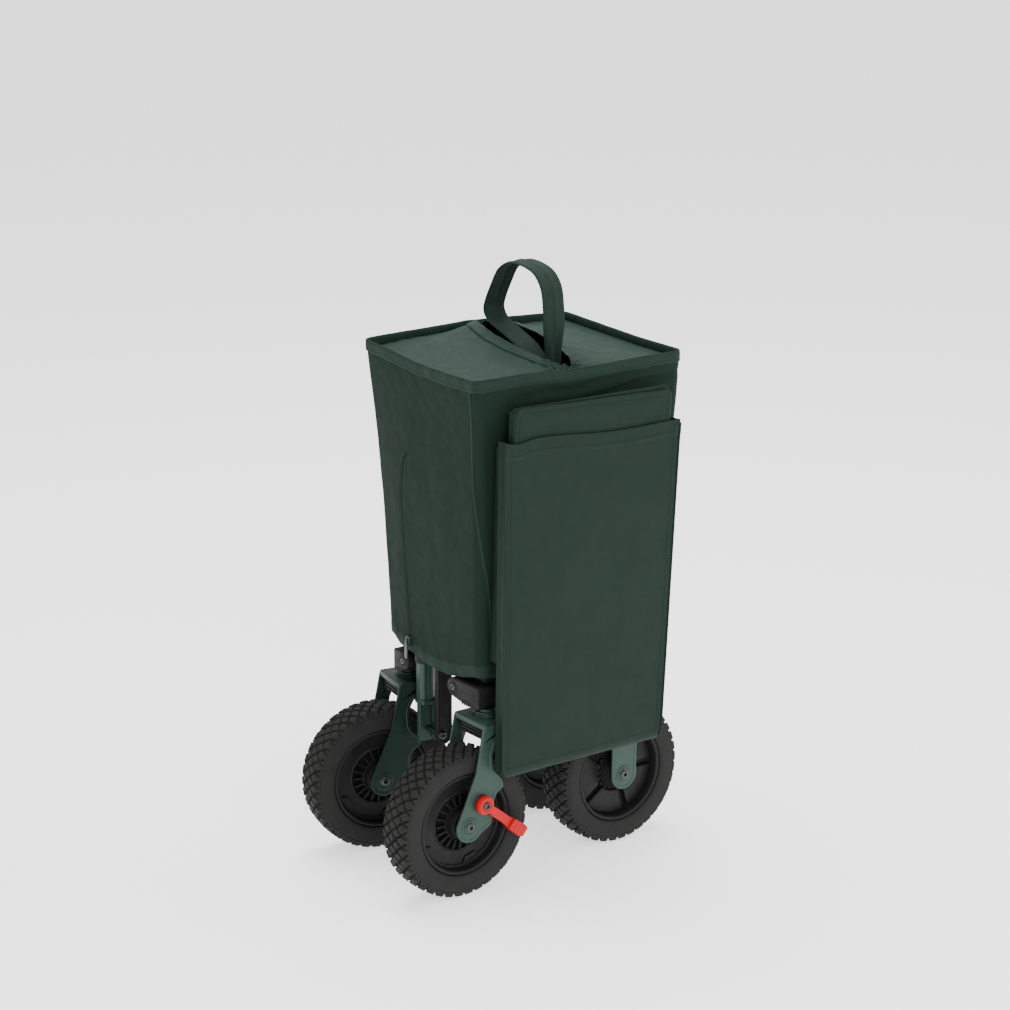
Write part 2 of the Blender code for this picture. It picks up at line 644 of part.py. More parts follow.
# ---- carry strap ----------------------------------------------------------------------------
def smooth_route(points, steps):
    """Catmull-Rom points through a route, ends repeated."""
    route = [points[0], *points, points[-1]]
    smooth = []
    for a, b, c, d in zip(route, route[1:], route[2:], route[3:]):
        for i in range(steps):
            t = i / steps
            smooth.append(tuple(
                0.5 * (2 * q + (r - p) * t + (2 * p - 5 * q + 4 * r - s) * t * t
                       + (3 * q - p - 3 * r + s) * t ** 3)
                for p, q, r, s in zip(a, b, c, d)
            ))
    return [*smooth, points[-1]]


def band(points, thickness):
    """Outline of a band of one thickness along a route."""
    left, right = [], []
    for i, (u, v) in enumerate(points):
        before, after = points[max(i - 1, 0)], points[min(i + 1, len(points) - 1)]
        along = Vector((after[0] - before[0], after[1] - before[1])).normalized()
        off = Vector((-along.y, along.x)) * thickness / 2
        left.append((u + off.x, v + off.y))
        right.append((u - off.x, v - off.y))
    return left + right[::-1]


strap_axis = pivot("strap_axis", (0, 0, STRAP_PIVOT_Z))
strap = outline("carry_strap", [band(smooth_route(STRAP_ROUTE, 2), STRAP_T)], STRAP_W, (0, 0, 0), IN_YZ)
finish(strap, "green_cloth", strap_axis)

# ---- storage cover --------------------------------------------------------------------------
lift_axis = pivot("cover_axis", (0, 0, COVER_HEM[2]))
cover_mesh = bpy.data.meshes.new("cover_shell")
shape = bmesh.new()
bmesh.ops.create_cube(shape, size=1)
for vertex in shape.verts:
    width, depth, height = COVER_TOP if vertex.co.z > 0 else COVER_HEM
    vertex.co = (vertex.co.x * width, vertex.co.y * depth, height)
hem_face = min(shape.faces, key=lambda face: face.calc_center_median().z)
bmesh.ops.delete(shape, geom=[hem_face], context="FACES_ONLY")
shape.to_mesh(cover_mesh)
shape.free()
cover = place("cover_shell", cover_mesh, (0, 0, 0))
solidify = cover.modifiers.new("cloth", "SOLIDIFY")
solidify.thickness = CLOTH
solidify.offset = -1
solidify.use_even_offset = True
slot = box("slot", (SLOT_X[0], SLOT_Y[0], 0.60), (SLOT_X[1], SLOT_Y[1], 0.70), cutter=True)
combine(cover, slot, "DIFFERENCE")
finish(cover, "green_cloth", lift_axis)

# ---- board pocket and the folded floor boards -----------------------------------------------
depth = POCKET_BACK - POCKET_FRONT
pocket = to_mesh(outline("board_pocket", [POCKET_CORNERS], depth, (0, (POCKET_FRONT + POCKET_BACK) / 2, 0), IN_XZ))
(low_x, low_z), (right_x, _), (top_x, top_z), (left_x, left_z) = POCKET_CORNERS
cavity = [
    (low_x + POCKET_CLOTH, low_z + POCKET_CLOTH), (right_x - POCKET_CLOTH, low_z + POCKET_CLOTH),
    (top_x - POCKET_CLOTH, top_z), (top_x, top_z + 0.05), (left_x, left_z + 0.05),
    (left_x + POCKET_CLOTH, left_z),
]
cavity_solid = to_mesh(outline(
    "pocket_cavity", [cavity], depth - 2 * POCKET_CLOTH, (0, (POCKET_FRONT + POCKET_BACK) / 2, 0), IN_XZ
))
combine(pocket, cavity_solid, "DIFFERENCE")


def cover_face_y(z):
    """Outer surface of the cover's near side at a height."""
    share = (z - COVER_HEM[2]) / (COVER_TOP[2] - COVER_HEM[2])
    return -(COVER_HEM[1] + share * (COVER_TOP[1] - COVER_HEM[1])) / 2


gusset_low, gusset_high = 0.300, 0.570
gusset = [
    (POCKET_BACK - 0.0005, gusset_low), (cover_face_y(gusset_low) - GAP, gusset_low),
    (cover_face_y(gusset_high) - GAP, gusset_high), (POCKET_BACK - 0.0005, gusset_high),
]
for name, x in (("left", -0.1300), ("right", 0.1100)):
    panel = to_mesh(outline(f"pocket_gusset_{name}", [gusset], 0.0020, (x, 0, 0), IN_YZ))
    combine(pocket, panel, "UNION")
finish(pocket, "green_cloth", lift_axis)

board_axis = pivot("board_axis", (BOARD_CORNER[0], POCKET_FRONT, BOARD_CORNER[1]))
first_y = (POCKET_FRONT + POCKET_BACK) / 2 - BOARD_PITCH * (BOARD_COUNT - 1) / 2
turn = Matrix.Rotation(BOARD_TILT, 3, "Y") @ IN_XZ
board_edge = [(0, 0), (BOARD_W, 0), (BOARD_W, BOARD_H), (0, BOARD_H)]
mat = None
for i in range(BOARD_COUNT):
    at = (BOARD_CORNER[0], first_y + i * BOARD_PITCH, BOARD_CORNER[1])
    panel = to_mesh(outline("floor_boards" if mat is None else f"board_{i}", [board_edge], BOARD_T, at, turn))
    if mat is None:
        mat = panel
        continue
    combine(mat, panel, "UNION")
    left = 0.0005 if i % 2 else BOARD_W - BOARD_FOLD - 0.0005
    fold = [
        (left, 0.0005), (left + BOARD_FOLD, 0.0005), (left + BOARD_FOLD, BOARD_H - 0.0005),
        (left, BOARD_H - 0.0005),
    ]
    fold_y = first_y + (i - 0.5) * BOARD_PITCH
    cloth = outline(f"board_fold_{i}", [fold], BOARD_PITCH, (BOARD_CORNER[0], fold_y, BOARD_CORNER[1]), turn)
    combine(mat, to_mesh(cloth), "UNION")
finish(mat, "green_cloth", board_axis)

# ---- zip ------------------------------------------------------------------------------------
def cover_face_x(z):
    """Outer surface of the cover's front side at a height."""
    share = (z - COVER_HEM[2]) / (COVER_TOP[2] - COVER_HEM[2])
    return -(COVER_HEM[0] + share * (COVER_TOP[0] - COVER_HEM[0])) / 2


zip_low = Vector((cover_face_x(ZIP_Z[0]), ZIP_Y[0], ZIP_Z[0]))
zip_high = Vector((cover_face_x(ZIP_Z[1]), ZIP_Y[1], ZIP_Z[1]))
zip_up = (zip_high - zip_low).normalized()
zip_across = zip_up.cross(Vector((-1, 0, 0))).normalized()
zip_out = zip_across.cross(zip_up).normalized()
if zip_out.x > 0:
    zip_out, zip_across = -zip_out, -zip_across
ON_ZIP = Matrix((zip_out, zip_out.cross(zip_up) * -1, zip_up)).transposed()


def on_zip(along, out):
    """A place on the zip: distance up it from its low end, and distance off the cloth."""
    return zip_low + zip_up * along + zip_out * out


def zip_piece(name, size, along, out):
    """A box lying on the zip: size is (off the cloth, across, along)."""
    mesh = bpy.data.meshes.new(name)
    shape = bmesh.new()
    bmesh.ops.create_cube(shape, size=1)
    bmesh.ops.scale(shape, vec=size, verts=shape.verts)
    shape.to_mesh(mesh)
    shape.free()
    return place(name, mesh, on_zip(along, out), ON_ZIP)


slider_out = ZIP_TAPE_T + GAP + SLIDER_BODY[0] / 2
slider_along = 0.0080
slider_axis = pivot("zip_slider_axis", on_zip(slider_along, slider_out))
zip_slider = zip_piece("zip_slider", SLIDER_BODY, slider_along, slider_out)
finish(zip_slider, "steel", slider_axis)
pull_out = slider_out + SLIDER_BODY[0] / 2 + GAP + 0.0009
pull_top = slider_along + 0.0030
pull_axis = pivot("zip_pull_axis", on_zip(pull_top, pull_out))
zip_pull = box(
    "zip_pull", on_zip(pull_top, pull_out) - Vector((0.0009, 0.0035, 0.0260)),
    on_zip(pull_top, pull_out) + Vector((0.0009, 0.0035, 0.0006)),
)
finish(zip_pull, "steel", pull_axis)

# ---- put the world origin under the middle of the whole object ------------------------------
bpy.context.view_layer.update()
graph = bpy.context.evaluated_depsgraph_get()
low, high = Vector((1, 1, 1)), Vector((-1, -1, -1))
for obj in parts.objects:
    if obj.type == "EMPTY":
        continue
    solid = obj.evaluated_get(graph)
    for vertex in solid.to_mesh().vertices:
        place_now = solid.matrix_world @ vertex.co
        low = Vector(map(min, low, place_now))
        high = Vector(map(max, high, place_now))
    solid.to_mesh_clear()
wagon.location = (-(low.x + high.x) / 2, -(low.y + high.y) / 2, -low.z)
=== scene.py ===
"""Looks of the folding camp wagon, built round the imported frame.

Metres, +Z up.  Places are given in the wagon's own coordinates, about a point on the ground under
the cover's centre, AXLE_Z below the axles, and ORIGIN shifts them into the frame.  -X is the front,
with the casters and the pull handle, -Y the near side, with the board pocket, and +Y the far side.
"""
import json
import math

import bmesh
import bpy
import numpy as np
from mathutils import Matrix, Vector, noise

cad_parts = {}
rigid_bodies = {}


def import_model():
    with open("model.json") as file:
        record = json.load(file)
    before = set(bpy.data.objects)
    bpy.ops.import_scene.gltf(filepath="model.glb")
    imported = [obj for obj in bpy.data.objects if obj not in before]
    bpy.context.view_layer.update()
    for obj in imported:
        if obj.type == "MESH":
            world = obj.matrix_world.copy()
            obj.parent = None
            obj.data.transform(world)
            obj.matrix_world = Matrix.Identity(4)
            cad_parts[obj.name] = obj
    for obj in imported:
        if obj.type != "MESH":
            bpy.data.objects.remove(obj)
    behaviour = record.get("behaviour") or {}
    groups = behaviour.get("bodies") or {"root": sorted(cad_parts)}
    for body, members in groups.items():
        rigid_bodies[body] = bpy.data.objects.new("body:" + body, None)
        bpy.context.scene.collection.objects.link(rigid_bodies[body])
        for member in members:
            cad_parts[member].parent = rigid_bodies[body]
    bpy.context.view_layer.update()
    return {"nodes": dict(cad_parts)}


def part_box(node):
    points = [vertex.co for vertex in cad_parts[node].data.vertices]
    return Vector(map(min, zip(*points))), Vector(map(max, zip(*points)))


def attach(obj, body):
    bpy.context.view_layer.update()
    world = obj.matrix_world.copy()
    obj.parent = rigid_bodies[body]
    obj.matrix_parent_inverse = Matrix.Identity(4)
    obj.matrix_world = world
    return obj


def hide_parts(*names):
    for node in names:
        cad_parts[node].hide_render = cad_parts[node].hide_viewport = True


for old in list(bpy.data.objects):
    bpy.data.objects.remove(old, do_unlink=True)

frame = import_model()

# ---- dimensions shared with the CAD (metres) -------------------------------------------------
FRAME_Y = 0.0027
AXLE_Z = 0.0923
SWIVEL = {"near": (-0.1260, -0.0946), "far": (-0.1190, 0.0893)}
YAW = {"near": 0.0, "far": math.radians(-10)}
CASTER_TRAIL = 0.0490
REAR_X = 0.0934
REAR_Y = 0.0697
PLATE = 0.0030
CHEEK_OUT = 0.0325
CROWN_TOP = 0.2225
AXLE_END_R = 0.0205
HANGER_OUT = 0.0310
HANGER_TOP = 0.2320
BRAKE_PIVOT = (0.0196, 0.0267)
LEVER_ANGLE = math.radians(-40)
LEVER_IN = CHEEK_OUT + 0.0005
BLOCK_Z = (0.2325, 0.2617)
BLOCK_END_R = 0.0125
BLOCK_INNER = {"near": 0.0387, "far": 0.0562}
BLOCK_OUTER = {"front_near": 0.1065, "front_far": 0.0900, "rear_near": 0.1065, "rear_far": 0.1065}
BLOCK_X = {
    "front_near": (-0.1455, -0.1040),
    "front_far": (-0.1400, -0.1040),
    "rear_near": (0.0850, 0.1300),
    "rear_far": (0.0850, 0.1300),
}
HANGER_X = (0.0745, 0.1160)
TUBE_X = -0.1245
TUBE_Y = 0.0427
TUBE_R = 0.0125
COVER_TOP = (0.3180, 0.2440, 0.6600)
COVER_HEM = (0.2800, 0.2045, 0.2680)
POCKET_FRONT = -0.1470
POCKET_BACK = -0.1315
SIDE = {"near": -1, "far": 1}

hub_low, hub_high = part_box("floor_hub")
HUB_Z = 0.2735
ORIGIN = (hub_low + hub_high) / 2 - Vector((0, FRAME_Y, HUB_Z))


# ---- materials ------------------------------------------------------------------------------
class Shade:
    """A material with one Principled shader, and short ways to add nodes to it."""

    def __init__(self, name, colour, roughness, **fixed):
        self.material = bpy.data.materials.new(name)
        self.material.use_nodes = True
        self.tree = self.material.node_tree
        self.shader = self.tree.nodes["Principled BSDF"]
        self.base = colour
        self.set("Base Color", (*colour, 1))
        self.set("Roughness", roughness)
        for socket, value in fixed.items():
            self.set(socket.replace("_", " "), value)
        self.bump_out = None

    def set(self, socket, value):
        self.shader.inputs[socket].default_value = value

    def node(self, kind, inputs=None, out=0, **settings):
        made = self.tree.nodes.new("ShaderNode" + kind)
        for key, value in settings.items():
            setattr(made, key, value)
        for socket, value in (inputs or {}).items():
            if isinstance(value, bpy.types.NodeSocket):
                self.tree.links.new(value, made.inputs[socket])
            else:
                made.inputs[socket].default_value = value
        return made.outputs[out]

    def place(self, uv=None, scale=(1, 1, 1)):
        """Coordinates: the piece's own metres, or its cloth map."""
        if uv:
            spot = self.node("UVMap", uv_map=uv)
        else:
            spot = self.node("TexCoord", out="Object")
        return self.node("Mapping", {"Vector": spot, "Scale": scale})

    def noise(self, spot, scale, detail=3.0, rough=0.55):
        return self.node("TexNoise", {"Vector": spot, "Scale": scale, "Detail": detail, "Roughness": rough},
                         out="Fac")

    def math(self, operation, a, b=0.0):
        return self.node("Math", {0: a, 1: b}, operation=operation)

    def spread(self, value, low, high, new_low, new_high):
        return self.node("MapRange", {"Value": value, "From Min": low, "From Max": high,
                                      "To Min": new_low, "To Max": new_high})

    def tint(self, value, low, high):
        """Base colour that runs between two multiples of itself as value runs from 0 to 1."""
        dark = tuple(c * low for c in self.base)
        light = tuple(c * high for c in self.base)
        return self.mix(value, (*dark, 1), (*light, 1))

    def mix(self, share, a, b):
        made = self.tree.nodes.new("ShaderNodeMix")
        made.data_type = "RGBA"
        for socket, value in ((0, share), (6, a), (7, b)):
            if isinstance(value, bpy.types.NodeSocket):
                self.tree.links.new(value, made.inputs[socket])
            else:
                made.inputs[socket].default_value = value
        return made.outputs[2]

    def colour(self, socket):
        self.tree.links.new(socket, self.shader.inputs["Base Color"])

    def rough(self, socket):
        self.tree.links.new(socket, self.shader.inputs["Roughness"])

    def bump(self, height, strength, distance):
        inputs = {"Height": height, "Strength": strength, "Distance": distance}
        if self.bump_out:
            inputs["Normal"] = self.bump_out
        self.bump_out = self.node("Bump", inputs)
        self.tree.links.new(self.bump_out, self.shader.inputs["Normal"])


def woven(name, colour, roughness, thread, uv="cloth", sheen=0.03, relief=0.30, streak=0.5):
    """Plain-woven cloth: threads over and under, a little slub, broad tone changes and soft creases."""
    shade = Shade(name, colour, roughness, Sheen_Weight=sheen, Sheen_Roughness=0.45,
                  Specular_IOR_Level=0.12)
    shade.set("Sheen Tint", (0.62, 0.85, 0.76, 1))
    spot = shade.place(uv)
    axes = shade.tree.nodes.new("ShaderNodeSeparateXYZ")
    shade.tree.links.new(spot, axes.inputs[0])
    across = shade.math("SINE", shade.math("MULTIPLY", axes.outputs[0], math.pi / thread))
    along = shade.math("SINE", shade.math("MULTIPLY", axes.outputs[1], math.pi / thread))
    weave = shade.math("MULTIPLY", across, along)
    slub = shade.noise(shade.place(uv, (60, 1400, 1)), 1.0, 2.0)
    slub_up = shade.noise(shade.place(uv, (1400, 60, 1)), 1.0, 2.0)
    yarn = shade.math("ADD", slub, slub_up)
    broad = shade.noise(shade.place(), 9.0, 4.0, 0.6)
    fine = shade.noise(shade.place(), 70.0, 3.0, 0.6)
    crease = shade.noise(shade.place(), 26.0, 3.0, 0.5)
    tone = shade.math("ADD", shade.math("MULTIPLY", broad, 0.55), shade.math("MULTIPLY", fine, 0.25))
    tone = shade.math("ADD", tone, shade.math("MULTIPLY", yarn, 0.10 * streak))
    tone = shade.math("ADD", tone, shade.math("MULTIPLY", weave, 0.06))
    shade.colour(shade.tint(shade.spread(tone, 0.25, 0.75, 0, 1), 0.86, 1.14))
    shade.rough(shade.spread(fine, 0.3, 0.7, roughness - 0.06, roughness + 0.06))
    shade.bump(crease, 0.20, 0.0030)
    shade.bump(yarn, 0.10, 0.0004)
    shade.bump(weave, relief, thread * 0.30)
    return shade.material


def painted(name, colour, roughness=0.42, metallic=0.25):
    """Powder-coated steel: fine orange peel, faint cloudiness and rubbed spots."""
    shade = Shade(name, colour, roughness, Metallic=metallic, Coat_Weight=0.05, Coat_Roughness=0.30,
                  Specular_IOR_Level=0.25)
    cloud = shade.noise(shade.place(), 22.0, 5.0, 0.6)
    peel = shade.noise(shade.place(), 1500.0, 2.0)
    rub = shade.noise(shade.place(scale=(1, 1, 0.35)), 95.0, 6.0, 0.7)
    worn = shade.spread(rub, 0.66, 0.74, 0, 0.5)
    base = shade.tint(shade.spread(cloud, 0.3, 0.7, 0, 1), 0.88, 1.12)
    shade.colour(shade.mix(worn, base, (*(min(1, c * 1.9 + 0.01) for c in colour), 1)))
    shade.rough(shade.spread(cloud, 0.3, 0.7, roughness - 0.07, roughness + 0.10))
    shade.bump(peel, 0.10, 0.0003)
    shade.bump(rub, 0.06, 0.0006)
    return shade.material


def moulded(name, colour, roughness=0.52, grain=850.0):
    """Moulded plastic: fine spark-eroded grain, slight flow marks and dull scuffs."""
    shade = Shade(name, colour, roughness, Specular_IOR_Level=0.16)
    flow = shade.noise(shade.place(scale=(1, 1, 0.4)), 18.0, 4.0, 0.5)
    grit = shade.noise(shade.place(), grain, 2.0)
    scuff = shade.noise(shade.place(scale=(1, 0.3, 1)), 160.0, 5.0, 0.7)
    shade.colour(shade.tint(shade.math("ADD", shade.math("MULTIPLY", flow, 0.6),
                                       shade.math("MULTIPLY", grit, 0.4)), 0.84, 1.18))
    shade.rough(shade.spread(scuff, 0.35, 0.65, roughness - 0.08, roughness + 0.10))
    shade.bump(grit, 0.22, 0.0003)
    return shade.material


def rubber(name, colour):
    """Matt tyre rubber with patches of grey dust and a fine skin."""
    shade = Shade(name, colour, 0.74, Specular_IOR_Level=0.15)
    dust = shade.noise(shade.place(), 30.0, 6.0, 0.65)
    skin = shade.noise(shade.place(), 620.0, 3.0)
    grey = shade.spread(dust, 0.42, 0.72, 0, 0.30)
    base = shade.tint(skin, 0.85, 1.15)
    shade.colour(shade.mix(grey, base, (0.036, 0.035, 0.033, 1)))
    shade.rough(shade.spread(dust, 0.3, 0.7, 0.66, 0.86))
    shade.bump(skin, 0.16, 0.0004)
    return shade.material


def zinc(name, colour=(0.50, 0.51, 0.51), roughness=0.36):
    shade = Shade(name, colour, roughness, Metallic=1.0)
    brushed = shade.noise(shade.place(scale=(1, 1, 0.2)), 900.0, 2.0)
    cloud = shade.noise(shade.place(), 60.0, 4.0)
    shade.colour(shade.tint(cloud, 0.80, 1.15))
    shade.rough(shade.spread(brushed, 0.3, 0.7, roughness - 0.08, roughness + 0.12))
    shade.bump(brushed, 0.05, 0.0002)
    return shade.material


GREEN = (0.0046, 0.0136, 0.0090)
PAINT = painted("green_powder_coat", (0.021, 0.045, 0.035))
# painted shade: the same green powder coat made darker, used only on the far fork, stands in for the shade on
# it
PAINT_SHADED = painted("green_powder_coat_painted_shade", (0.008, 0.021, 0.015), 0.46)
PLASTIC = moulded("black_moulded_plastic", (0.0072, 0.0071, 0.0070))
RIM_PLASTIC = moulded("rim_plastic", (0.0080, 0.0080, 0.0082), 0.50)
RED = moulded("red_moulded_plastic", (0.430, 0.005, 0.007), 0.42)
RUBBER = rubber("tyre_rubber_skin", (0.0130, 0.0128, 0.0126))
ZINC = zinc("zinc_plate")
DARK_STEEL = zinc("dark_steel", (0.060, 0.072, 0.067), 0.38)
CLOTH = woven("cover_oxford_cloth", GREEN, 0.80, 0.0009)
# painted light: the top panel is the same Oxford cloth as the walls, given a lighter and greener colour for
# the light and sheen falling on it
TOP_CLOTH_PAINTED_LIGHT = woven("top_oxford_cloth_painted_light", (0.0075, 0.0235, 0.0165), 0.58, 0.0009)
POCKET_CLOTH = woven("pocket_oxford_cloth", (0.0056, 0.0158, 0.0102), 0.62, 0.0009)
TAPE = woven("binding_tape_weave", (0.0078, 0.0215, 0.0150), 0.70, 0.0012, relief=0.45)
WEBBING = woven("strap_webbing_weave", (0.0110, 0.0240, 0.0180), 0.72, 0.0016, relief=0.60)
THREAD = woven("sewing_thread", (0.0130, 0.0240, 0.0200), 0.60, 0.0006, uv=None)
TUB_CLOTH = woven("tub_cloth_weave", (0.0070, 0.0135, 0.0110), 0.70, 0.0010)


# ---- mesh helpers ---------------------------------------------------------------------------
def quads(rows, cols, wrap_rows=False, wrap_cols=False, flip=False):
    """Faces of a grid of points, as (n, 4) indices."""
    r = np.arange(rows if wrap_rows else rows - 1)
    c = np.arange(cols if wrap_cols else cols - 1)
    r, c = (a.reshape(-1) for a in np.meshgrid(r, c, indexing="ij"))
    r2, c2 = (r + 1) % rows, (c + 1) % cols
    faces = np.stack([r * cols + c, r * cols + c2, r2 * cols + c2, r2 * cols + c], -1)
    return faces[:, ::-1] if flip else faces


def ring_points(profile, steps):
    """Points of a (radius, y) profile turned about Y: one row for each step round."""
    angle = np.arange(steps) * 2 * math.pi / steps
    radius = np.array([p[0] for p in profile])
    y = np.array([p[1] for p in profile])
    x = np.outer(np.sin(angle), radius)
    z = np.outer(np.cos(angle), radius)
    return np.stack([x, np.tile(y, (steps, 1)), z], -1)


class Build:
    """Gathers shapes into one mesh."""

    def __init__(self):
        self.shape = bmesh.new()

    def take(self, part, matrix=None):
        if matrix is not None:
            bmesh.ops.transform(part, matrix=matrix, verts=part.verts)
        bmesh.ops.recalc_face_normals(part, faces=part.faces)
        mesh = bpy.data.meshes.new("part")
        part.to_mesh(mesh)
        part.free()
        self.shape.from_mesh(mesh)
        bpy.data.meshes.remove(mesh)
        return self

    def grid(self, points, wrap_rows=False, wrap_cols=False, matrix=None, caps=False):
        part = bmesh.new()
        rows, cols = points.shape[:2]
        verts = [part.verts.new(p) for p in points.reshape(-1, 3)]
        for face in quads(rows, cols, wrap_rows, wrap_cols):
            part.faces.new([verts[i] for i in face])
        if caps:
            for row in (0, rows - 1):
                part.faces.new(verts[row * cols:(row + 1) * cols])
        return self.take(part, matrix)

    def turned(self, profile, steps, matrix=None, wrap=True):
        """A (radius, y) profile about Y, closed on itself, or with its ends on the axis."""
        part = bmesh.new()
        points = ring_points(profile, steps)
        verts = [part.verts.new(p) for p in points.reshape(-1, 3)]
        for face in quads(steps, len(profile), True, wrap):
            part.faces.new([verts[i] for i in face])
        bmesh.ops.remove_doubles(part, verts=part.verts, dist=1e-6)
        return self.take(part, matrix)

    def box(self, low, high, matrix=None, bevel=0.001, segments=2):
        part = bmesh.new()
        bmesh.ops.create_cube(part, size=1)
        for vertex in part.verts:
            vertex.co = [(a + b) / 2 + c * (b - a) for a, b, c in zip(low, high, vertex.co)]
        if bevel:
            bmesh.ops.bevel(part, geom=part.edges[:], offset=bevel, segments=segments, affect="EDGES",
                            profile=0.5, clamp_overlap=True)
        return self.take(part, matrix)

    def plate(self, loop, low, high, matrix=None, bevel=0.0006, segments=2, rim=0.0, sink=0.0, faces="both"):
        """An outline in X and Z between two depths along Y; rim and sink press its faces in."""
        part = bmesh.new()
        verts = [part.verts.new((u, low, v)) for u, v in loop]
        face = part.faces.new(verts)
        lifted = bmesh.ops.extrude_face_region(part, geom=[face])
        top = [g for g in lifted["geom"] if isinstance(g, bmesh.types.BMVert)]
        bmesh.ops.translate(part, verts=top, vec=(0, high - low, 0))
        bmesh.ops.recalc_face_normals(part, faces=part.faces)
        if bevel:
            edges = [e for e in part.edges if e.calc_face_angle(0) > math.radians(30)]
            bmesh.ops.bevel(part, geom=edges, offset=bevel, segments=segments, affect="EDGES", profile=0.5,
                            clamp_overlap=True)
        if rim:
            for side in (-1, 1):
                if faces == "both" or faces == side:
                    flat = [f for f in part.faces if f.normal.y * side > 0.99 and f.calc_area() > 1e-5]
                    bmesh.ops.inset_region(part, faces=flat, thickness=rim, depth=0, use_even_offset=True)
                    bmesh.ops.inset_region(part, faces=flat, thickness=sink * 1.2, depth=-sink,
                                           use_even_offset=True)
        return self.take(part, matrix)

    def tube(self, path, radius, sides=8, wrap=False, up=(0, 0, 1)):
        """A round section swept along a path of points."""
        path = [Vector(p) for p in path]
        count = len(path)
        rows = []
        last = Vector(up)
        for i, point in enumerate(path):
            before = path[i - 1] if wrap or i else point
            after = path[(i + 1) % count] if wrap or i < count - 1 else point
            along = (after - before).normalized()
            side = along.cross(last)
            if side.length < 1e-4:
                side = along.orthogonal()
            side.normalize()
            last = side.cross(along).normalized()
            rows.append([
                point + side * (radius * math.cos(a)) + last * (radius * math.sin(a))
                for a in (2 * math.pi * k / sides for k in range(sides))
            ])
        return self.grid(np.array(rows, float), wrap, True, caps=not wrap)

    def object(self, name, body, material, replaces=(), slot=None, sharp=38, at=None, yaw=0.0):
        mesh = bpy.data.meshes.new(name)
        self.shape.to_mesh(mesh)
        self.shape.free()
        return show(name, mesh, body, material, replaces, sharp, at, yaw)


def show(name, mesh, body, material, replaces=(), sharp=38, at=None, yaw=0.0):
    """Put a mesh made in the wagon's coordinates, or about the point at, on its CAD body."""
    obj = bpy.data.objects.new(name, mesh)
    bpy.context.scene.collection.objects.link(obj)
    obj.location = ORIGIN + Vector(at or (0, 0, 0))
    obj.rotation_euler.z = yaw
    if not mesh.materials:
        mesh.materials.append(material)
        mesh.shade_smooth()
        mesh.set_sharp_from_angle(angle=math.radians(sharp))
    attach(obj, body)
    if replaces:
        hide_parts(*replaces)
    return obj


def arc(cx, cz, radius, start, end, steps):
    """Points on an arc, angles in degrees."""
    angles = [math.radians(start + (end - start) * i / steps) for i in range(steps + 1)]
    return [(cx + radius * math.cos(a), cz + radius * math.sin(a)) for a in angles]


def smooth(a, b, value):
    """0 below a, 1 above b, smooth between."""
    t = np.clip((value - a) / (b - a), 0, 1)
    return t * t * (3 - 2 * t)


def lengths(path):
    """How far along a path each of its points lies."""
    return np.concatenate([[0], np.cumsum(np.linalg.norm(np.diff(path, axis=0), axis=1))])


def along_path(place, run, values):
    """The values of a path's points at a distance along it, run being its lengths."""
    return np.stack([np.interp(place, run, values[:, k]) for k in range(3)], -1)


def turn_y(degrees):
    return Matrix.Rotation(math.radians(degrees), 4, "Y")


def facing(side):
    """Turns +Y, the way a bolt head looks, to the given side along Y."""
    return Matrix.Identity(4) if side > 0 else Matrix.Rotation(math.pi, 4, "Z")


def bolt(build, at, radius, height, side, washer=0.0, socket=0.45, matrix=None):
    """A button-head bolt with a hexagon socket, its head looking along Y to the given side."""
    steps = 24
    angle = np.arange(steps) * 2 * math.pi / steps
    hexagon = math.cos(math.pi / 6) / np.cos((angle + math.pi / 6) % (math.pi / 3) - math.pi / 6)
    rings = (
        (radius, 0, 0), (radius, height * 0.30, 0), (radius * 0.93, height * 0.62, 0),
        (radius * 0.78, height * 0.88, 0), (radius * 0.62, height, 0), (radius * socket, height, 1),
        (radius * socket * 0.94, height * 0.90, 1), (radius * socket * 0.90, height * 0.25, 1),
        (radius * 0.05, height * 0.20, 0),
    )
    rows = []
    for size, y, hexed in rings:
        size = size * (hexagon if hexed else np.ones(steps))
        rows.append(np.stack([np.sin(angle) * size, np.full(steps, y), np.cos(angle) * size], -1))
    spot = Matrix.Translation(at) @ facing(side)
    if matrix is not None:
        spot = matrix @ spot
    build.grid(np.array(rows), False, True, spot, caps=True)
    if washer:
        build.turned([(radius * 0.9, 0), (washer, 0), (washer, 0.0006), (washer - 0.0004, 0.0010),
                      (radius * 0.9, 0.0010)], 28, spot)
    return build


# ---- camera, floor and light ----------------------------------------------------------------
AIM = Vector((-0.0282, 0.0000, 0.4567)) + ORIGIN
CAMERA_TURN, CAMERA_RISE, CAMERA_FAR, CAMERA_LENS = math.radians(-36.195), math.radians(15.882), 3.5745, 99.8

camera = bpy.data.objects.new("camera", bpy.data.cameras.new("camera"))
bpy.context.scene.collection.objects.link(camera)
back = Vector((math.sin(CAMERA_TURN) * math.cos(CAMERA_RISE), -math.cos(CAMERA_TURN) * math.cos(CAMERA_RISE),
               math.sin(CAMERA_RISE)))
camera.location = AIM + back * CAMERA_FAR
camera.rotation_euler = (-back).to_track_quat("-Z", "Y").to_euler()
camera.data.lens = CAMERA_LENS
camera.data.sensor_width = 36.0
bpy.context.scene.camera = camera

floor_mesh = bpy.data.meshes.new("floor")
FLOOR_HALF = 60.0
floor_mesh.from_pydata([
    (-FLOOR_HALF, -FLOOR_HALF, 0), (FLOOR_HALF, -FLOOR_HALF, 0), (FLOOR_HALF, FLOOR_HALF, 0),
    (-FLOOR_HALF, FLOOR_HALF, 0),
], [], [(0, 1, 2, 3)])
floor = bpy.data.objects.new("floor", floor_mesh)
bpy.context.scene.collection.objects.link(floor)
floor_paint = Shade("pale_floor", (0.93, 0.93, 0.93), 0.85, Emission_Strength=1.1)
floor_paint.set("Emission Color", (1, 1, 1, 1))
floor.data.materials.append(floor_paint.material)

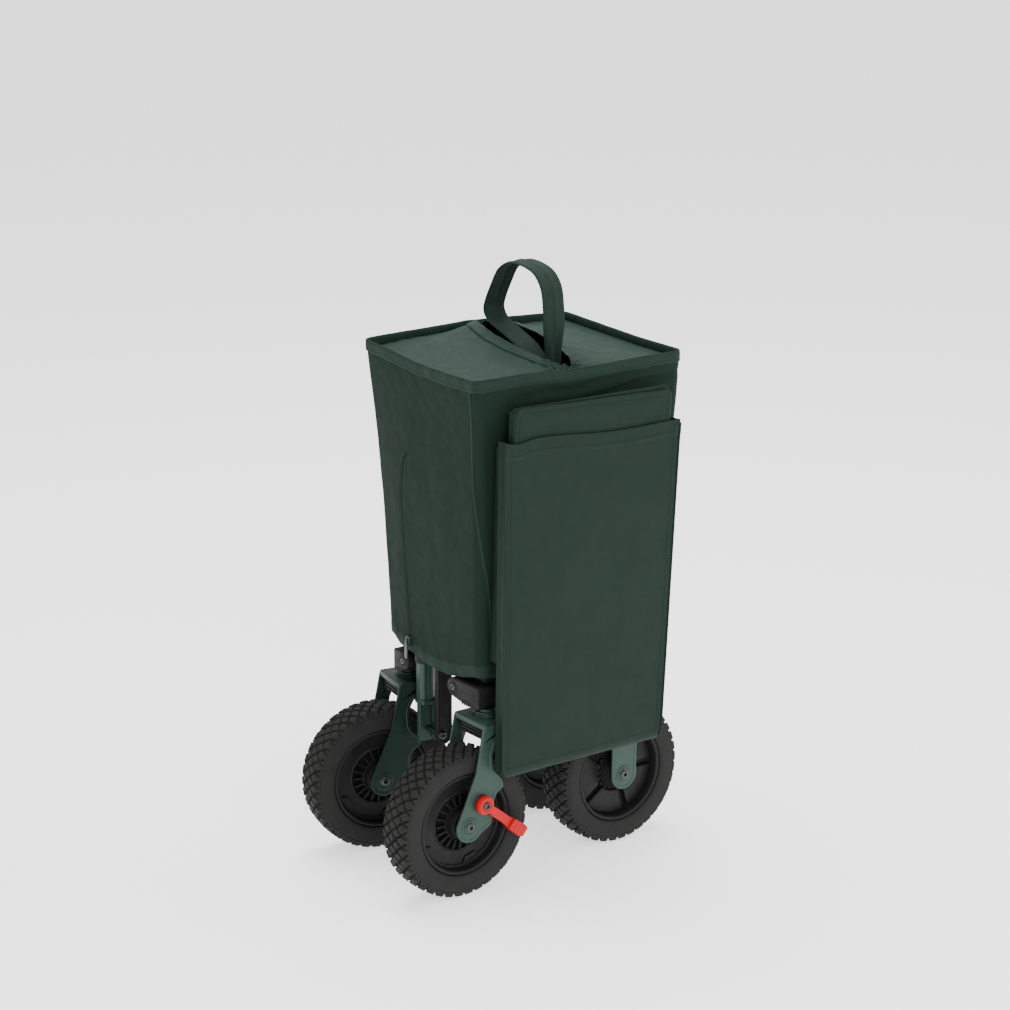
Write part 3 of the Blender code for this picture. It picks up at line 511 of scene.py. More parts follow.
world = bpy.data.worlds.new("studio")
bpy.context.scene.world = world
world.use_nodes = True
world.node_tree.nodes["Background"].inputs["Color"].default_value = (1, 1, 1, 1)
world.node_tree.nodes["Background"].inputs["Strength"].default_value = 0.95


def soft_light(name, at, aim, size, power):
    lamp = bpy.data.lights.new(name, "AREA")
    lamp.shape = "DISK"
    lamp.size = size
    lamp.energy = power
    obj = bpy.data.objects.new(name, lamp)
    bpy.context.scene.collection.objects.link(obj)
    obj.location = at
    obj.rotation_euler = (Vector(aim) - Vector(at)).to_track_quat("-Z", "Y").to_euler()


soft_light("key_light", (-0.9, -3.0, 1.8), (0, 0, 0.35), 1.8, 56)
soft_light("side_light", (2.6, -1.4, 1.6), (0, 0, 0.35), 1.6, 22)
soft_light("top_light", (0.2, 0.6, 3.0), (0, 0, 0.4), 2.4, 105)

# ---- wheels ---------------------------------------------------------------------------------
LUGS = 38
TYRE_STEPS = 480
TREAD_R, TREAD_HALF, TREAD_CROWN = 0.0974, 0.0178, 4.5
LUG_DEPTH, LUG_PITCH, GROOVE_HALF = 0.0042, 0.0182, 0.130
SIDEWALL = [
    (0.0668, 0.0205), (0.0672, 0.0226), (0.0686, 0.0238), (0.0710, 0.0245), (0.0760, 0.0249),
    (0.0830, 0.0249), (0.0860, 0.0248), (0.0870, 0.0241), (0.0878, 0.0240), (0.0886, 0.0246),
    (0.0898, 0.0243), (0.0910, 0.0238), (0.0922, 0.0231), (0.0934, 0.0223), (0.0946, 0.0212),
    (0.0956, 0.0200), (0.0963, 0.0188),
]


def tyre_mesh():
    """Tyre with a lattice of diamond lugs on its tread and a smooth sidewall with one ring."""
    tread = [(TREAD_R - TREAD_CROWN * y * y, y) for y in np.linspace(TREAD_HALF, -TREAD_HALF, 31)]
    profile = SIDEWALL + tread + [(r, -y) for r, y in reversed(SIDEWALL)]
    points = ring_points(profile, TYRE_STEPS)
    radius = np.array([p[0] for p in profile])[None, :]
    y = np.array([p[1] for p in profile])[None, :]
    turn = (np.arange(TYRE_STEPS) / TYRE_STEPS * LUGS)[:, None]
    lattice = y / LUG_PITCH

    def groove(phase):
        away = np.abs((phase + 0.5) % 1 - 0.5)
        return 1 - smooth(GROOVE_HALF * 0.45, GROOVE_HALF, away)

    cut = np.maximum(groove(turn + lattice), groove(turn - lattice))
    depth = LUG_DEPTH * smooth(0.0896, 0.0938, radius) * (1 - 0.25 * smooth(0.006, 0.0, np.abs(y)))
    crown = 0.0003 * (1 - np.abs((turn + lattice) % 1 - 0.5) * 2)
    less = (cut * depth + crown * smooth(0.090, 0.094, radius)) / np.maximum(radius, 1e-6)
    points[:, :, 0] *= 1 - less
    points[:, :, 2] *= 1 - less
    bore = ring_points([(0.0668, 0.0205), (0.0660, 0.0), (0.0668, -0.0205)], TYRE_STEPS)[:, 1:2]
    points = np.concatenate([points, bore], 1)
    mesh = bpy.data.meshes.new("lugged_tyre")
    faces = quads(TYRE_STEPS, points.shape[1], True, True, flip=True)
    mesh.from_pydata(points.reshape(-1, 3).tolist(), [], faces.tolist())
    return mesh


def both_sides(half):
    return half + [(r, -y) for r, y in reversed(half)]


def fins(build, count, r_low, r_high, width, base, top_low, top_high, shift=0.0, bevel=0.0005):
    """Radial ribs on both faces of a wheel's web."""
    for side in (-1, 1):
        for i in range(count):
            matrix = turn_y((i + shift) * 360 / count)
            low, high = sorted((side * base, side * top_low))
            part = bmesh.new()
            bmesh.ops.create_cube(part, size=1)
            for vertex in part.verts:
                outer = vertex.co.z > 0
                tall = top_high if outer else top_low
                reach = base if vertex.co.y < 0 else tall
                wide = width if outer else width * 0.8
                vertex.co = (vertex.co.x * wide, side * reach, r_high if outer else r_low)
            bmesh.ops.bevel(part, geom=part.edges[:], offset=bevel, segments=1, affect="EDGES", profile=0.5,
                            clamp_overlap=True)
            build.take(part, matrix)
    return build


RIM_BEAD = [(0.0662, 0.0200), (0.0660, 0.0214), (0.0650, 0.0223), (0.0636, 0.0224), (0.0622, 0.0218),
            (0.0612, 0.0200)]


def front_rim():
    half = RIM_BEAD + [
        (0.0602, 0.0150), (0.0594, 0.0120), (0.0584, 0.0108), (0.0570, 0.0104),
        (0.0562, 0.0084), (0.0550, 0.0078), (0.0392, 0.0078), (0.0380, 0.0090), (0.0370, 0.0092),
        (0.0362, 0.0084), (0.0356, 0.0050), (0.0340, 0.0044),
        (0.0250, 0.0044), (0.0236, 0.0060), (0.0226, 0.0100), (0.0212, 0.0104), (0.0204, 0.0120),
        (0.0200, 0.0226), (0.0192, 0.0236), (0.0120, 0.0238), (0.0110, 0.0228), (0.0062, 0.0228),
        (0.0046, 0.0220),
    ]
    build = Build().turned(both_sides(half), 96)
    fins(build, 20, 0.0222, 0.0362, 0.0026, 0.0040, 0.0112, 0.0094)
    for i in range(5):
        pad = arc(0, 0, 0.0580, 72 * i - 14, 72 * i + 14, 8) + arc(0, 0, 0.0490, 72 * i + 9, 72 * i - 9, 5)
        build.plate(pad, -0.0106, 0.0106, bevel=0.0012)
    return build


def rear_rim():
    half = RIM_BEAD + [
        (0.0600, 0.0120), (0.0592, 0.0060), (0.0580, 0.0046), (0.0480, 0.0040),
        (0.0300, 0.0040), (0.0285, 0.0046), (0.0275, 0.0090), (0.0255, 0.0100), (0.0240, 0.0140),
        (0.0222, 0.0170), (0.0205, 0.0220), (0.0196, 0.0236), (0.0120, 0.0238), (0.0110, 0.0228),
        (0.0062, 0.0228), (0.0046, 0.0220),
    ]
    build = Build().turned(both_sides(half), 96)
    for i in range(5):
        turn = 72 * i
        sector = arc(0, 0, 0.0592, turn + 4, turn + 68, 14) + arc(0, 0, 0.0284, turn + 63, turn + 9, 8)
        build.plate(sector, -0.0112, 0.0112, bevel=0.0014)
    fins(build, 20, 0.0200, 0.0272, 0.0016, 0.0035, 0.0150, 0.0110, 0.5)
    return build


tyre = tyre_mesh()
RIMS = {"front": front_rim(), "rear": rear_rim()}
for end, build in RIMS.items():
    mesh = bpy.data.meshes.new(f"{end}_rim")
    build.shape.to_mesh(mesh)
    build.shape.free()
    RIMS[end] = mesh


def on_caster(name, x):
    """A place on the middle plane of a caster, x behind its swivel axis."""
    swivel_x, swivel_y = SWIVEL[name]
    return swivel_x + x * math.cos(YAW[name]), swivel_y + x * math.sin(YAW[name])


for name, side in SIDE.items():
    for end, spot, yaw in (("front", on_caster(name, -CASTER_TRAIL), YAW[name]),
                           ("rear", (REAR_X, FRAME_Y + side * REAR_Y), 0.0)):
        wheel, body = f"{end}_{name}", f"wheel_{end}_{name}"
        at = (*spot, AXLE_Z)
        show(f"lugged_tyre_{wheel}", tyre, body, RUBBER, [f"tyre_{wheel}"], sharp=50, at=at, yaw=yaw)
        show(f"moulded_rim_{wheel}", RIMS[end], body, RIM_PLASTIC, [f"rim_{wheel}"], at=at, yaw=yaw)

# ---- forks and brakes -----------------------------------------------------------------------
FORK = [
    (0.0220, CROWN_TOP - AXLE_Z), (0.0172, 0.1055), (0.0094, 0.0690), (-0.0060, 0.0340),
    *arc(0, 0, AXLE_END_R, 168, 325, 18),
    (0.0330, -0.0040), (0.0365, 0.0120), (0.0370, 0.0280), (0.0420, 0.0370), (0.0520, 0.0420),
    (0.0500, 0.0520), (0.0360, 0.0680), (0.0345, 0.0900), (0.0420, 0.1060), (0.0640, 0.1160),
    (0.0680, CROWN_TOP - AXLE_Z),
]


def rounded(loop, radius, steps=4):
    """The same outline with each corner eased."""
    out = []
    count = len(loop)
    for i, point in enumerate(loop):
        here, before, after = Vector(point), Vector(loop[i - 1]), Vector(loop[(i + 1) % count])
        into, away = (here - before), (after - here)
        reach = min(radius, into.length / 2.2, away.length / 2.2)
        if into.angle(away, 0) < math.radians(14):
            out.append(tuple(here))
            continue
        a, b = here - into.normalized() * reach, here + away.normalized() * reach
        for k in range(steps + 1):
            t = k / steps
            out.append(tuple(a * (1 - t) ** 2 + here * 2 * t * (1 - t) + b * t * t))
    return out


def cheeks(build, outline, out, sink, boss, boss_sunk):
    """Both pressed side plates of a fork or hanger, each with a raised ring round its bolt."""
    for face in (-1, 1):
        low, high = sorted((face * (out - PLATE), face * out))
        build.plate(outline, low, high, bevel=0.0008, rim=0.0024, sink=sink, faces=face)
        build.turned(boss, 36, Matrix.Translation((0, face * (out - boss_sunk), 0)) @ facing(face))
    return build


def axle_with_bolts(out, washer, half):
    """An axle, half its length to each side, with a bolt head and a washer on both faces."""
    axle = Build()
    for face in (-1, 1):
        bolt(axle, (0, face * out, 0), AXLE_BOLT_R, AXLE_BOLT_HIGH, face, washer=washer)
    return axle.turned([(0, -half), (AXLE_R, -half), (AXLE_R, half), (0, half)], 20, wrap=False)


AXLE_R, AXLE_BOLT_R, AXLE_BOLT_HIGH = 0.0040, 0.0064, 0.0034
FORK_BOSS = [(0.0070, -0.001), (0.0128, -0.001), (0.0126, 0.0006), (0.0118, 0.0011), (0.0096, 0.0011),
             (0.0088, 0.0004), (0.0070, 0.0002)]
HANGER_BOSS = [(0.0070, -0.001), (0.0122, -0.001), (0.0120, 0.0006), (0.0112, 0.0010), (0.0092, 0.0010),
               (0.0084, 0.0003), (0.0070, 0.0001)]
FORK_EDGE = rounded(FORK, 0.0050)
for name, side in SIDE.items():
    yaw = YAW[name]
    at = (*on_caster(name, -CASTER_TRAIL), AXLE_Z)
    crown = CROWN_TOP - AXLE_Z

    fork = cheeks(Build(), FORK_EDGE, CHEEK_OUT, 0.0008, FORK_BOSS, 0.0010)
    fork.box((0.0225, -CHEEK_OUT, crown - PLATE), (0.0675, CHEEK_OUT, crown), bevel=0.0010)
    fork.box((0.0215, -CHEEK_OUT + 0.002, crown - 0.0075), (0.0243, CHEEK_OUT - 0.002, crown - 0.0005),
             bevel=0.0008)
    swivel = Matrix.Translation((CASTER_TRAIL, 0, crown)) @ Matrix.Rotation(math.pi / 2, 4, "X")
    fork.turned([(0, -0.001), (0.0175, -0.001), (0.0175, 0.0022), (0.0160, 0.0034), (0.0150, 0.0036),
                 (0.0150, 0.0060), (0.0120, 0.0066), (0.0120, 0.0096), (0, 0.0096)], 40, swivel, wrap=False)
    # the far fork takes the darker coat, which is painted shade
    fork.object(f"pressed_fork_{name}", f"caster_{name}", PAINT_SHADED if name == "far" else PAINT,
                [f"fork_{name}"], at=at, yaw=yaw)

    insert = Build()
    insert.box((0.0255, -0.0240, 0.1069), (0.0640, 0.0240, 0.1264), bevel=0.0016)
    for k in range(4):
        z = 0.1090 + k * 0.0045
        insert.box((0.0238, -0.0225, z), (0.0262, 0.0225, z + 0.0022), bevel=0.0007)
    for k in range(5):
        x = 0.0280 + k * 0.0072
        insert.box((x, -0.0246, 0.1080), (x + 0.0030, 0.0246, 0.1255), bevel=0.0006)
    insert.object(f"ribbed_insert_{name}", f"caster_{name}", PLASTIC, [f"fork_insert_{name}"], at=at,
                  yaw=yaw)

    axle = axle_with_bolts(CHEEK_OUT - 0.0008, 0.0084, 0.0300)
    axle.object(f"axle_bolt_{name}", f"caster_{name}", DARK_STEEL, [f"axle_{name}"], at=at, yaw=yaw)

    # the lever's own frame: u along the arm, y outwards on both sides
    pivot_at = (*on_caster(name, BRAKE_PIVOT[0] - CASTER_TRAIL), AXLE_Z + BRAKE_PIVOT[1])
    lean = turn_y(-math.degrees(LEVER_ANGLE))
    mirror = Matrix.Scale(side, 4, (0, 1, 0))
    lever = Build()
    arm = rounded([*arc(0, 0, 0.0121, 24, 336, 24), (0.0200, -0.0062), (0.0420, -0.0060), (0.0560, -0.0076),
                   (0.0560, 0.0068), (0.0420, 0.0056), (0.0200, 0.0058)], 0.006)
    lever.plate(arm, LEVER_IN, LEVER_IN + 0.0070, mirror @ lean, bevel=0.0010)
    pad = rounded([(0.0490, -0.0080), (0.0700, -0.0084), (0.0758, -0.0066), (0.0760, 0.0068),
                   (0.0700, 0.0082), (0.0490, 0.0072)], 0.002)
    lever.plate(pad, LEVER_IN - 0.0002, LEVER_IN + 0.0110, mirror @ lean, bevel=0.0013)
    for k in range(3):
        u = 0.0560 + k * 0.0062
        lever.box((u, LEVER_IN + 0.0105, -0.0066), (u + 0.0022, LEVER_IN + 0.0114, 0.0062), mirror @ lean,
                  bevel=0.0004)
    lever.turned([(0.0052, LEVER_IN + 0.006), (0.0110, LEVER_IN + 0.006), (0.0110, LEVER_IN + 0.0082),
                  (0.0100, LEVER_IN + 0.0092), (0.0080, LEVER_IN + 0.0094), (0.0072, LEVER_IN + 0.0086),
                  (0.0052, LEVER_IN + 0.0084)], 40, mirror)
    lever.turned([(0, 0.0115), (0.0075, 0.0115), (0.0075, 0.0262), (0.0108, 0.0268), (0.0108, 0.0290),
                  (0.0075, 0.0292), (0.0075, LEVER_IN + 0.002), (0, LEVER_IN + 0.002)], 32, mirror,
                 wrap=False)
    cam = [*arc(0, 0, 0.0085, 60, 300, 18), *arc(0.0060, 0, 0.0055, -60, 60, 8)]
    lever.plate(cam, 0.0115, 0.0163, mirror @ lean, bevel=0.0006)
    lever.object(f"foot_brake_{name}", f"brake_{name}", RED, [f"brake_lever_{name}"], at=pivot_at, yaw=yaw)

    screw = Build()
    bolt(screw, (0, side * (LEVER_IN + 0.0082), 0), 0.0054, 0.0022, side, socket=0.55)
    screw.object(f"brake_bolt_{name}", f"brake_{name}", DARK_STEEL, at=pivot_at, yaw=yaw)

# ---- cloth helpers --------------------------------------------------------------------------
def ripple(points, scale, seed, octaves=3):
    """Smooth noise of about -1 to 1 at each point of a grid."""
    spots = (points * np.array(scale)).reshape(-1, 3)
    shift = Vector((seed * 3.17, seed * 1.31, seed * 2.09))
    values = [noise.fractal(Vector(spot) + shift, 1.0, 2.0, octaves) for spot in spots.tolist()]
    return np.array(values).reshape(points.shape[:-1])


def normals(points, seam=False):
    """Unit normals of a grid, on the side that rows cross columns points to."""
    if seam:
        core = normals_of(points[:, :-1], True)
        return np.concatenate([core, core[:, :1]], 1)
    return normals_of(points, False)


def normals_of(points, wrap):
    down = np.gradient(points, axis=0)
    across = np.roll(points, -1, 1) - np.roll(points, 1, 1) if wrap else np.gradient(points, axis=1)
    out = np.cross(down, across)
    return out / np.maximum(np.linalg.norm(out, axis=-1, keepdims=True), 1e-12)


class Cloth:
    """Gathers cloth surfaces, each with its own map in metres, into one mesh."""

    def __init__(self):
        self.points, self.map, self.faces, self.count = [], [], [], 0

    def add(self, points, cloth, thickness=0.0, seam=False, caps=False):
        """A grid; with a thickness it becomes a shell, its first face on the outside."""
        rows, cols = points.shape[:2]
        faces = [quads(rows, cols)]
        layers = [points]
        if thickness:
            layers.append(points - normals(points, seam) * thickness)
            faces.append(quads(rows, cols, flip=True) + rows * cols)
            index = np.arange(rows * cols).reshape(rows, cols)
            edges = [index[0], index[-1]] + ([] if seam else [index[:, 0], index[:, -1]])
            for edge in edges:
                inner = edge + rows * cols
                faces.append(np.stack([edge[:-1], edge[1:], inner[1:], inner[:-1]], -1))
        self.points += [layer.reshape(-1, 3) for layer in layers]
        self.map += [cloth.reshape(-1, 2)] * len(layers)
        self.faces += [face + self.count for face in faces]
        if caps:
            for row in (0, rows - 1):
                ring = points[row, :-1] if seam else points[row]
                start = self.count + row * cols
                middle = self.count + rows * cols * len(layers)
                self.points.append(ring.mean(0)[None])
                self.map.append(cloth[row].mean(0)[None])
                fan = np.arange(cols - 1)
                self.faces.append(np.stack([fan + start, fan + start + 1, np.full(cols - 1, middle)], -1))
                self.count += 1
        self.count += rows * cols * len(layers)
        return self

    def stitches(self, path, out, length=0.0032, gap=0.0013, radius=0.00042, lift=0.0002):
        """A row of thread stitches along a path, each sunk at both ends."""
        path, out = np.asarray(path, float), np.asarray(out, float)
        run = lengths(path)
        starts = np.arange(gap, run[-1] - length, length + gap)
        head, tail = along_path(starts, run, path), along_path(starts + length, run, path)
        up = along_path(starts + length / 2, run, np.broadcast_to(out, path.shape))
        up /= np.linalg.norm(up, axis=1, keepdims=True)
        along = (tail - head) / np.maximum(np.linalg.norm(tail - head, axis=1, keepdims=True), 1e-9)
        side = np.cross(along, up)
        middle = (head + tail) / 2 + up * (radius * 0.6 + lift)
        head, tail = head + up * lift * 0.3, tail + up * lift * 0.3
        ring = [middle + (side * math.cos(a) + up * math.sin(a)) * radius for a in np.arange(4) * math.pi / 2]
        points = np.stack([head, tail, *ring], 1)
        tris = np.array([(0, 2, 3), (0, 3, 4), (0, 4, 5), (0, 5, 2),
                         (1, 3, 2), (1, 4, 3), (1, 5, 4), (1, 2, 5)])
        faces = (tris[None] + (np.arange(len(points)) * 6)[:, None, None]).reshape(-1, 3)
        self.points.append(points.reshape(-1, 3))
        self.map.append(points.reshape(-1, 3)[:, :2])
        self.faces.append(faces + self.count)
        self.count += len(points) * 6
        return self

    def object(self, name, body, material, replaces=(), slot=None, sharp=60):
        points, cloth = np.concatenate(self.points), np.concatenate(self.map)
        faces = [face for group in self.faces for face in group.tolist()]
        mesh = bpy.data.meshes.new(name)
        mesh.from_pydata(points.tolist(), [], faces)
        layer = mesh.uv_layers.new(name="cloth")
        corner = np.empty(len(mesh.loops), int)
        mesh.loops.foreach_get("vertex_index", corner)
        layer.data.foreach_set("uv", cloth[corner].reshape(-1).astype(np.float32))
        part = bmesh.new()
        part.from_mesh(mesh)
        bmesh.ops.remove_doubles(part, verts=part.verts, dist=2e-6)
        bmesh.ops.recalc_face_normals(part, faces=part.faces)
        part.to_mesh(mesh)
        part.free()
        return show(name, mesh, body, material, replaces, sharp)


def grid_map(points):
    """A map in metres for a grid, from the lengths along its middle row and column."""
    rows, cols = points.shape[:2]
    return np.stack(np.meshgrid(lengths(points[rows // 2]), lengths(points[:, cols // 2])), -1)


# ---- storage cover: walls -------------------------------------------------------------------
SIDE_STEPS, CORNER_STEPS, CORNER_SHARE = 74, 9, 0.015
WALL_ROWS = 96
RIM_LINE = np.array([
    (0.00, 0.6695), (0.21, 0.6665), (0.46, 0.6600), (0.74, 0.6585), (0.98, 0.6585), (1.00, 0.6600),
    (1.20, 0.6600), (1.44, 0.6560), (1.59, 0.6555), (1.78, 0.6570), (2.00, 0.6570), (2.36, 0.6580),
    (2.70, 0.6615), (3.00, 0.6650), (3.50, 0.6725), (3.69, 0.6710), (3.91, 0.6705), (4.00, 0.6695),
])
HEM_LINE = np.array([
    (0.00, 0.2850), (0.03, 0.2825), (0.09, 0.2735), (0.23, 0.2690), (0.40, 0.2605), (0.65, 0.2600),
    (0.85, 0.2660), (1.00, 0.2740), (1.30, 0.2700), (1.70, 0.2670), (2.00, 0.2720), (2.50, 0.2660),
    (3.00, 0.2720), (3.50, 0.2660), (3.90, 0.2740), (4.00, 0.2850),
])


def perimeter():
    """Round the cover: corner weights in X and Y, direction outwards, and place from 0 to 4."""
    corners = ((-1, 1), (-1, -1), (1, -1), (1, 1))
    found = []
    for k in range(4):
        weight, following = corners[k], corners[(k + 1) % 4]
        for j in range(CORNER_STEPS):
            share = j / CORNER_STEPS
            angle = math.radians(90 + 90 * k + 90 * share)
            found.append((*weight, math.cos(angle), math.sin(angle), k + CORNER_SHARE * (2 * share - 1)))
        angle = math.radians(180 + 90 * k)
        for i in range(SIDE_STEPS):
            share = i / SIDE_STEPS
            found.append((
                weight[0] + (following[0] - weight[0]) * share,
                weight[1] + (following[1] - weight[1]) * share,
                math.cos(angle), math.sin(angle), k + CORNER_SHARE + (1 - 2 * CORNER_SHARE) * share,
            ))
    found.append((*found[0][:4], 4 - CORNER_SHARE))
    return np.array(found)


AROUND = perimeter()
AROUND_U = AROUND[:, 4]


def half_size(z):
    """Half width and half depth of the cover at a height."""
    share = (z - COVER_HEM[2]) / (COVER_TOP[2] - COVER_HEM[2])
    return tuple((COVER_HEM[k] + share * (COVER_TOP[k] - COVER_HEM[k])) / 2 for k in (0, 1))


def wall_grid():
    rim = np.interp(AROUND_U % 4, *RIM_LINE.T)
    hem = np.interp(AROUND_U % 4, *HEM_LINE.T)
    share = np.linspace(0, 1, WALL_ROWS)[:, None]
    z = hem + share * (rim - hem)
    half_x, half_y = half_size(z)
    corner = 0.0150 - 0.0050 * share
    x = AROUND[:, 0] * (half_x - corner) + corner * AROUND[:, 2]
    y = AROUND[:, 1] * (half_y - corner) + corner * AROUND[:, 3]
    flat = np.stack([x, y, z], -1)
    belly = np.sin(math.pi * share)
    inside = 1 - np.abs(AROUND_U % 1 - 0.5) * 2
    bow = -0.0040 * belly * np.exp(-((((AROUND_U + 2) % 4 - 2) / 0.14) ** 2))
    out = 0.0016 * belly * np.sqrt(inside) + bow
    out += 0.0024 * ripple(flat, (7, 7, 4), 1) * np.minimum(1, (1 - share) * 6)
    out += 0.0004 * ripple(flat, (22, 22, 4), 2) * np.minimum(1, (1 - share) * 8)
    out += 0.0003 * ripple(flat, (20, 20, 22), 3) + 0.0002 * ripple(flat, (70, 70, 50), 4)
    below = rim - z
    pucker = np.sin(AROUND_U * 2 * math.pi * 24 + 3 * ripple(flat, (16, 16, 0), 5))
    out += 0.0004 * pucker * np.exp(-below / 0.011) * (below > 0.012)
    diagonal = np.sin((AROUND_U * 46 + z * 190) + 2.2 * ripple(flat, (12, 12, 12), 6))
    out += 0.0003 * diagonal * np.exp(-below / 0.045) * np.clip(ripple(flat, (7, 7, 7), 7) * 3, 0, 1)
    crease = np.sin(z * 300 - AROUND_U * 9 + 2.8 * ripple(flat, (9, 9, 14), 9))
    dented = np.exp(-(((AROUND_U - 1.58) / 0.36) ** 4)) * np.exp(-(((below - 0.030) / 0.014) ** 2))
    out -= 0.0060 * dented * (0.5 + 0.5 * crease) ** 2
    above = z - hem
    out += 0.0026 * ripple(flat, (17, 17, 0), 8) * np.exp(-above / 0.030)
    direction = np.stack([AROUND[:, 2], AROUND[:, 3], 0 * AROUND_U], -1)
    out[:, -1] = out[:, 0]
    return flat + out[..., None] * direction, z


WALL, WALL_Z = wall_grid()
WALL_OUT = -normals(WALL, True)
if (WALL_OUT[10, 20] * WALL[10, 20]).sum() < 0:
    WALL_OUT = -WALL_OUT


def on_wall(u, z, lift=0.0):
    """Places on the cover's walls, u round it and z up, lifted off the cloth; and their normals."""
    u, z = np.broadcast_arrays(np.asarray(u, float), np.asarray(z, float))
    col = np.interp((u + CORNER_SHARE) % 4 - CORNER_SHARE, AROUND_U, np.arange(len(AROUND_U)))
    left = np.minimum(col.astype(int), len(AROUND_U) - 2)
    mix = (col - left)[..., None]
    low = WALL_Z[0, left] * (1 - mix[..., 0]) + WALL_Z[0, left + 1] * mix[..., 0]
    high = WALL_Z[-1, left] * (1 - mix[..., 0]) + WALL_Z[-1, left + 1] * mix[..., 0]
    row = np.clip((z - low) / (high - low), 0, 1) * (WALL_ROWS - 1)
    down = np.minimum(row.astype(int), WALL_ROWS - 2)
    rise = (row - down)[..., None]

    def blend(grid):
        bottom = grid[down, left] * (1 - mix) + grid[down, left + 1] * mix
        top = grid[down + 1, left] * (1 - mix) + grid[down + 1, left + 1] * mix
        return bottom * (1 - rise) + top * rise

    out = blend(WALL_OUT)
    out /= np.linalg.norm(out, axis=-1, keepdims=True)
    return blend(WALL) + out * np.asarray(lift)[..., None], out


def front_u(y, z):
    """Place round the cover of a depth on its front side."""
    share = (1 - np.asarray(y) / (half_size(z)[1] - 0.0125)) / 2
    return CORNER_SHARE + (1 - 2 * CORNER_SHARE) * share


WALL_T = 0.0012
walls = Cloth().add(WALL, grid_map(WALL), WALL_T, seam=True)
walls = walls.object("cover_walls", "cover", CLOTH, ["cover_shell"])


def band_on_wall(build, u, z, half, height, lift=0.0001, across=None):
    """A flat band of cloth sewn on the wall along a line of places (u, z)."""
    centre, out = on_wall(u, z)
    along = np.gradient(centre, axis=0)
    along /= np.linalg.norm(along, axis=1, keepdims=True)
    side = np.cross(along, out)
    half = np.broadcast_to(half, len(u))[:, None]
    rows = []
    for share, rise in ((-1.0, 0.0), (-0.97, 0.7), (-0.86, 1.0), (-0.5, 0.96), (0.0, 1.0), (0.5, 0.96),
                        (0.86, 1.0), (0.97, 0.7), (1.0, 0.0)):
        rows.append(centre + side * half * share + out * (lift + rise * height))
    grid = np.array(rows)
    build.add(grid, grid_map(grid), height + 0.0012)
    return centre, side, out


# a corner seam: half its width, its height, and its stitches' distance beside it and above the cloth
PINCHED_SEAM = (0.0018, 0.0020, 0.0034, 0.0002)
FLAT_SEAM = (0.0032, 0.0007, 0.0021, 0.0008)
seams = Cloth()
seam_thread = Cloth()
for corner in (1.0, 2.0, 3.0, 3.996):
    rise = np.linspace(np.interp(corner, *HEM_LINE.T) + 0.004, 0.6480, 120)
    line = np.full(120, corner)
    if corner == 1.0:
        line = front_u(np.interp(rise, (0.288, 0.604), (-0.1000, -0.1045)), rise)
    half, height, beside, above = PINCHED_SEAM if corner == 1.0 else FLAT_SEAM
    centre, side, out = band_on_wall(seams, line, rise, half, height)
    for shift in (-beside, beside):
        seam_thread.stitches(centre + side * shift + out * above, out)

# hem: a folded band round the bottom, sewn along its upper edge
hem_z = WALL_Z[0]
rows = []
for up, lift in ((0.0000, -0.0016), (-0.0009, -0.0002), (0.0002, 0.0010), (0.0080, 0.0011), (0.0150, 0.0010),
                 (0.0162, 0.0006), (0.0166, -0.0004)):
    spot, out = on_wall(AROUND_U, hem_z + max(up, 0) + 0.0001)
    rows.append(spot + out * lift + np.array((0, 0, min(up, 0))))
hem = np.array(rows)
hem[:, -1] = hem[:, 0]
seams.add(hem, grid_map(hem), 0.0004, seam=True)
spot, out = on_wall(AROUND_U, hem_z + 0.0142 + 0.0004 * np.sin(AROUND_U * 40))
seam_thread.stitches(spot + out * 0.0011, out)
seams = seams.object("cover_seams", "cover", TAPE)

# binding: a tape folded over the rim, standing above the sunken top
rim_spot = WALL[-1]
rim_out = np.stack([AROUND[:, 2], AROUND[:, 3], 0 * AROUND_U], -1)
wave = 0.0009 * ripple(rim_spot, (60, 60, 0), 11) + 0.0011 * ripple(rim_spot, (18, 18, 0), 12)
wave[-1] = wave[0]
lean = 0.0012 * ripple(rim_spot, (30, 30, 0), 13)
lean[-1] = lean[0]
rows = []
for outset, up, ripples in (
        (-0.0004, -0.0145, 1.0), (0.0012, -0.0150, 1.0), (0.0019, -0.0138, 1.0), (0.0018, -0.0110, 0.6),
        (0.0021, -0.0070, 0.3), (0.0020, -0.0030, 0.2), (0.0013, -0.0006, 0.2), (0.0000, 0.0003, 0.2),
        (-0.0014, -0.0004, 0.2), (-0.0022, -0.0028, 0.2), (-0.0024, -0.0060, 0.3), (-0.0026, -0.0095, 0.6),
        (-0.0020, -0.0112, 0.8), (-0.0010, -0.0108, 0.8), (-0.0006, -0.0040, 0.3), (-0.0004, -0.0145, 1.0)):
    place_now = rim_spot + rim_out * (outset + lean * (up + 0.0145) / 0.0145)[..., None]
    place_now[:, 2] += up + wave * ripples
    rows.append(place_now)
binding = np.array(rows)
binding = Cloth().add(binding, grid_map(binding), seam=True).object("rim_binding", "cover", TAPE)
spot = rim_spot + rim_out * 0.0021
spot[:, 2] += wave * 0.8 - 0.0124
seam_thread.stitches(spot, rim_out)
seam_thread = seam_thread.object("cover_stitching", "cover", THREAD)


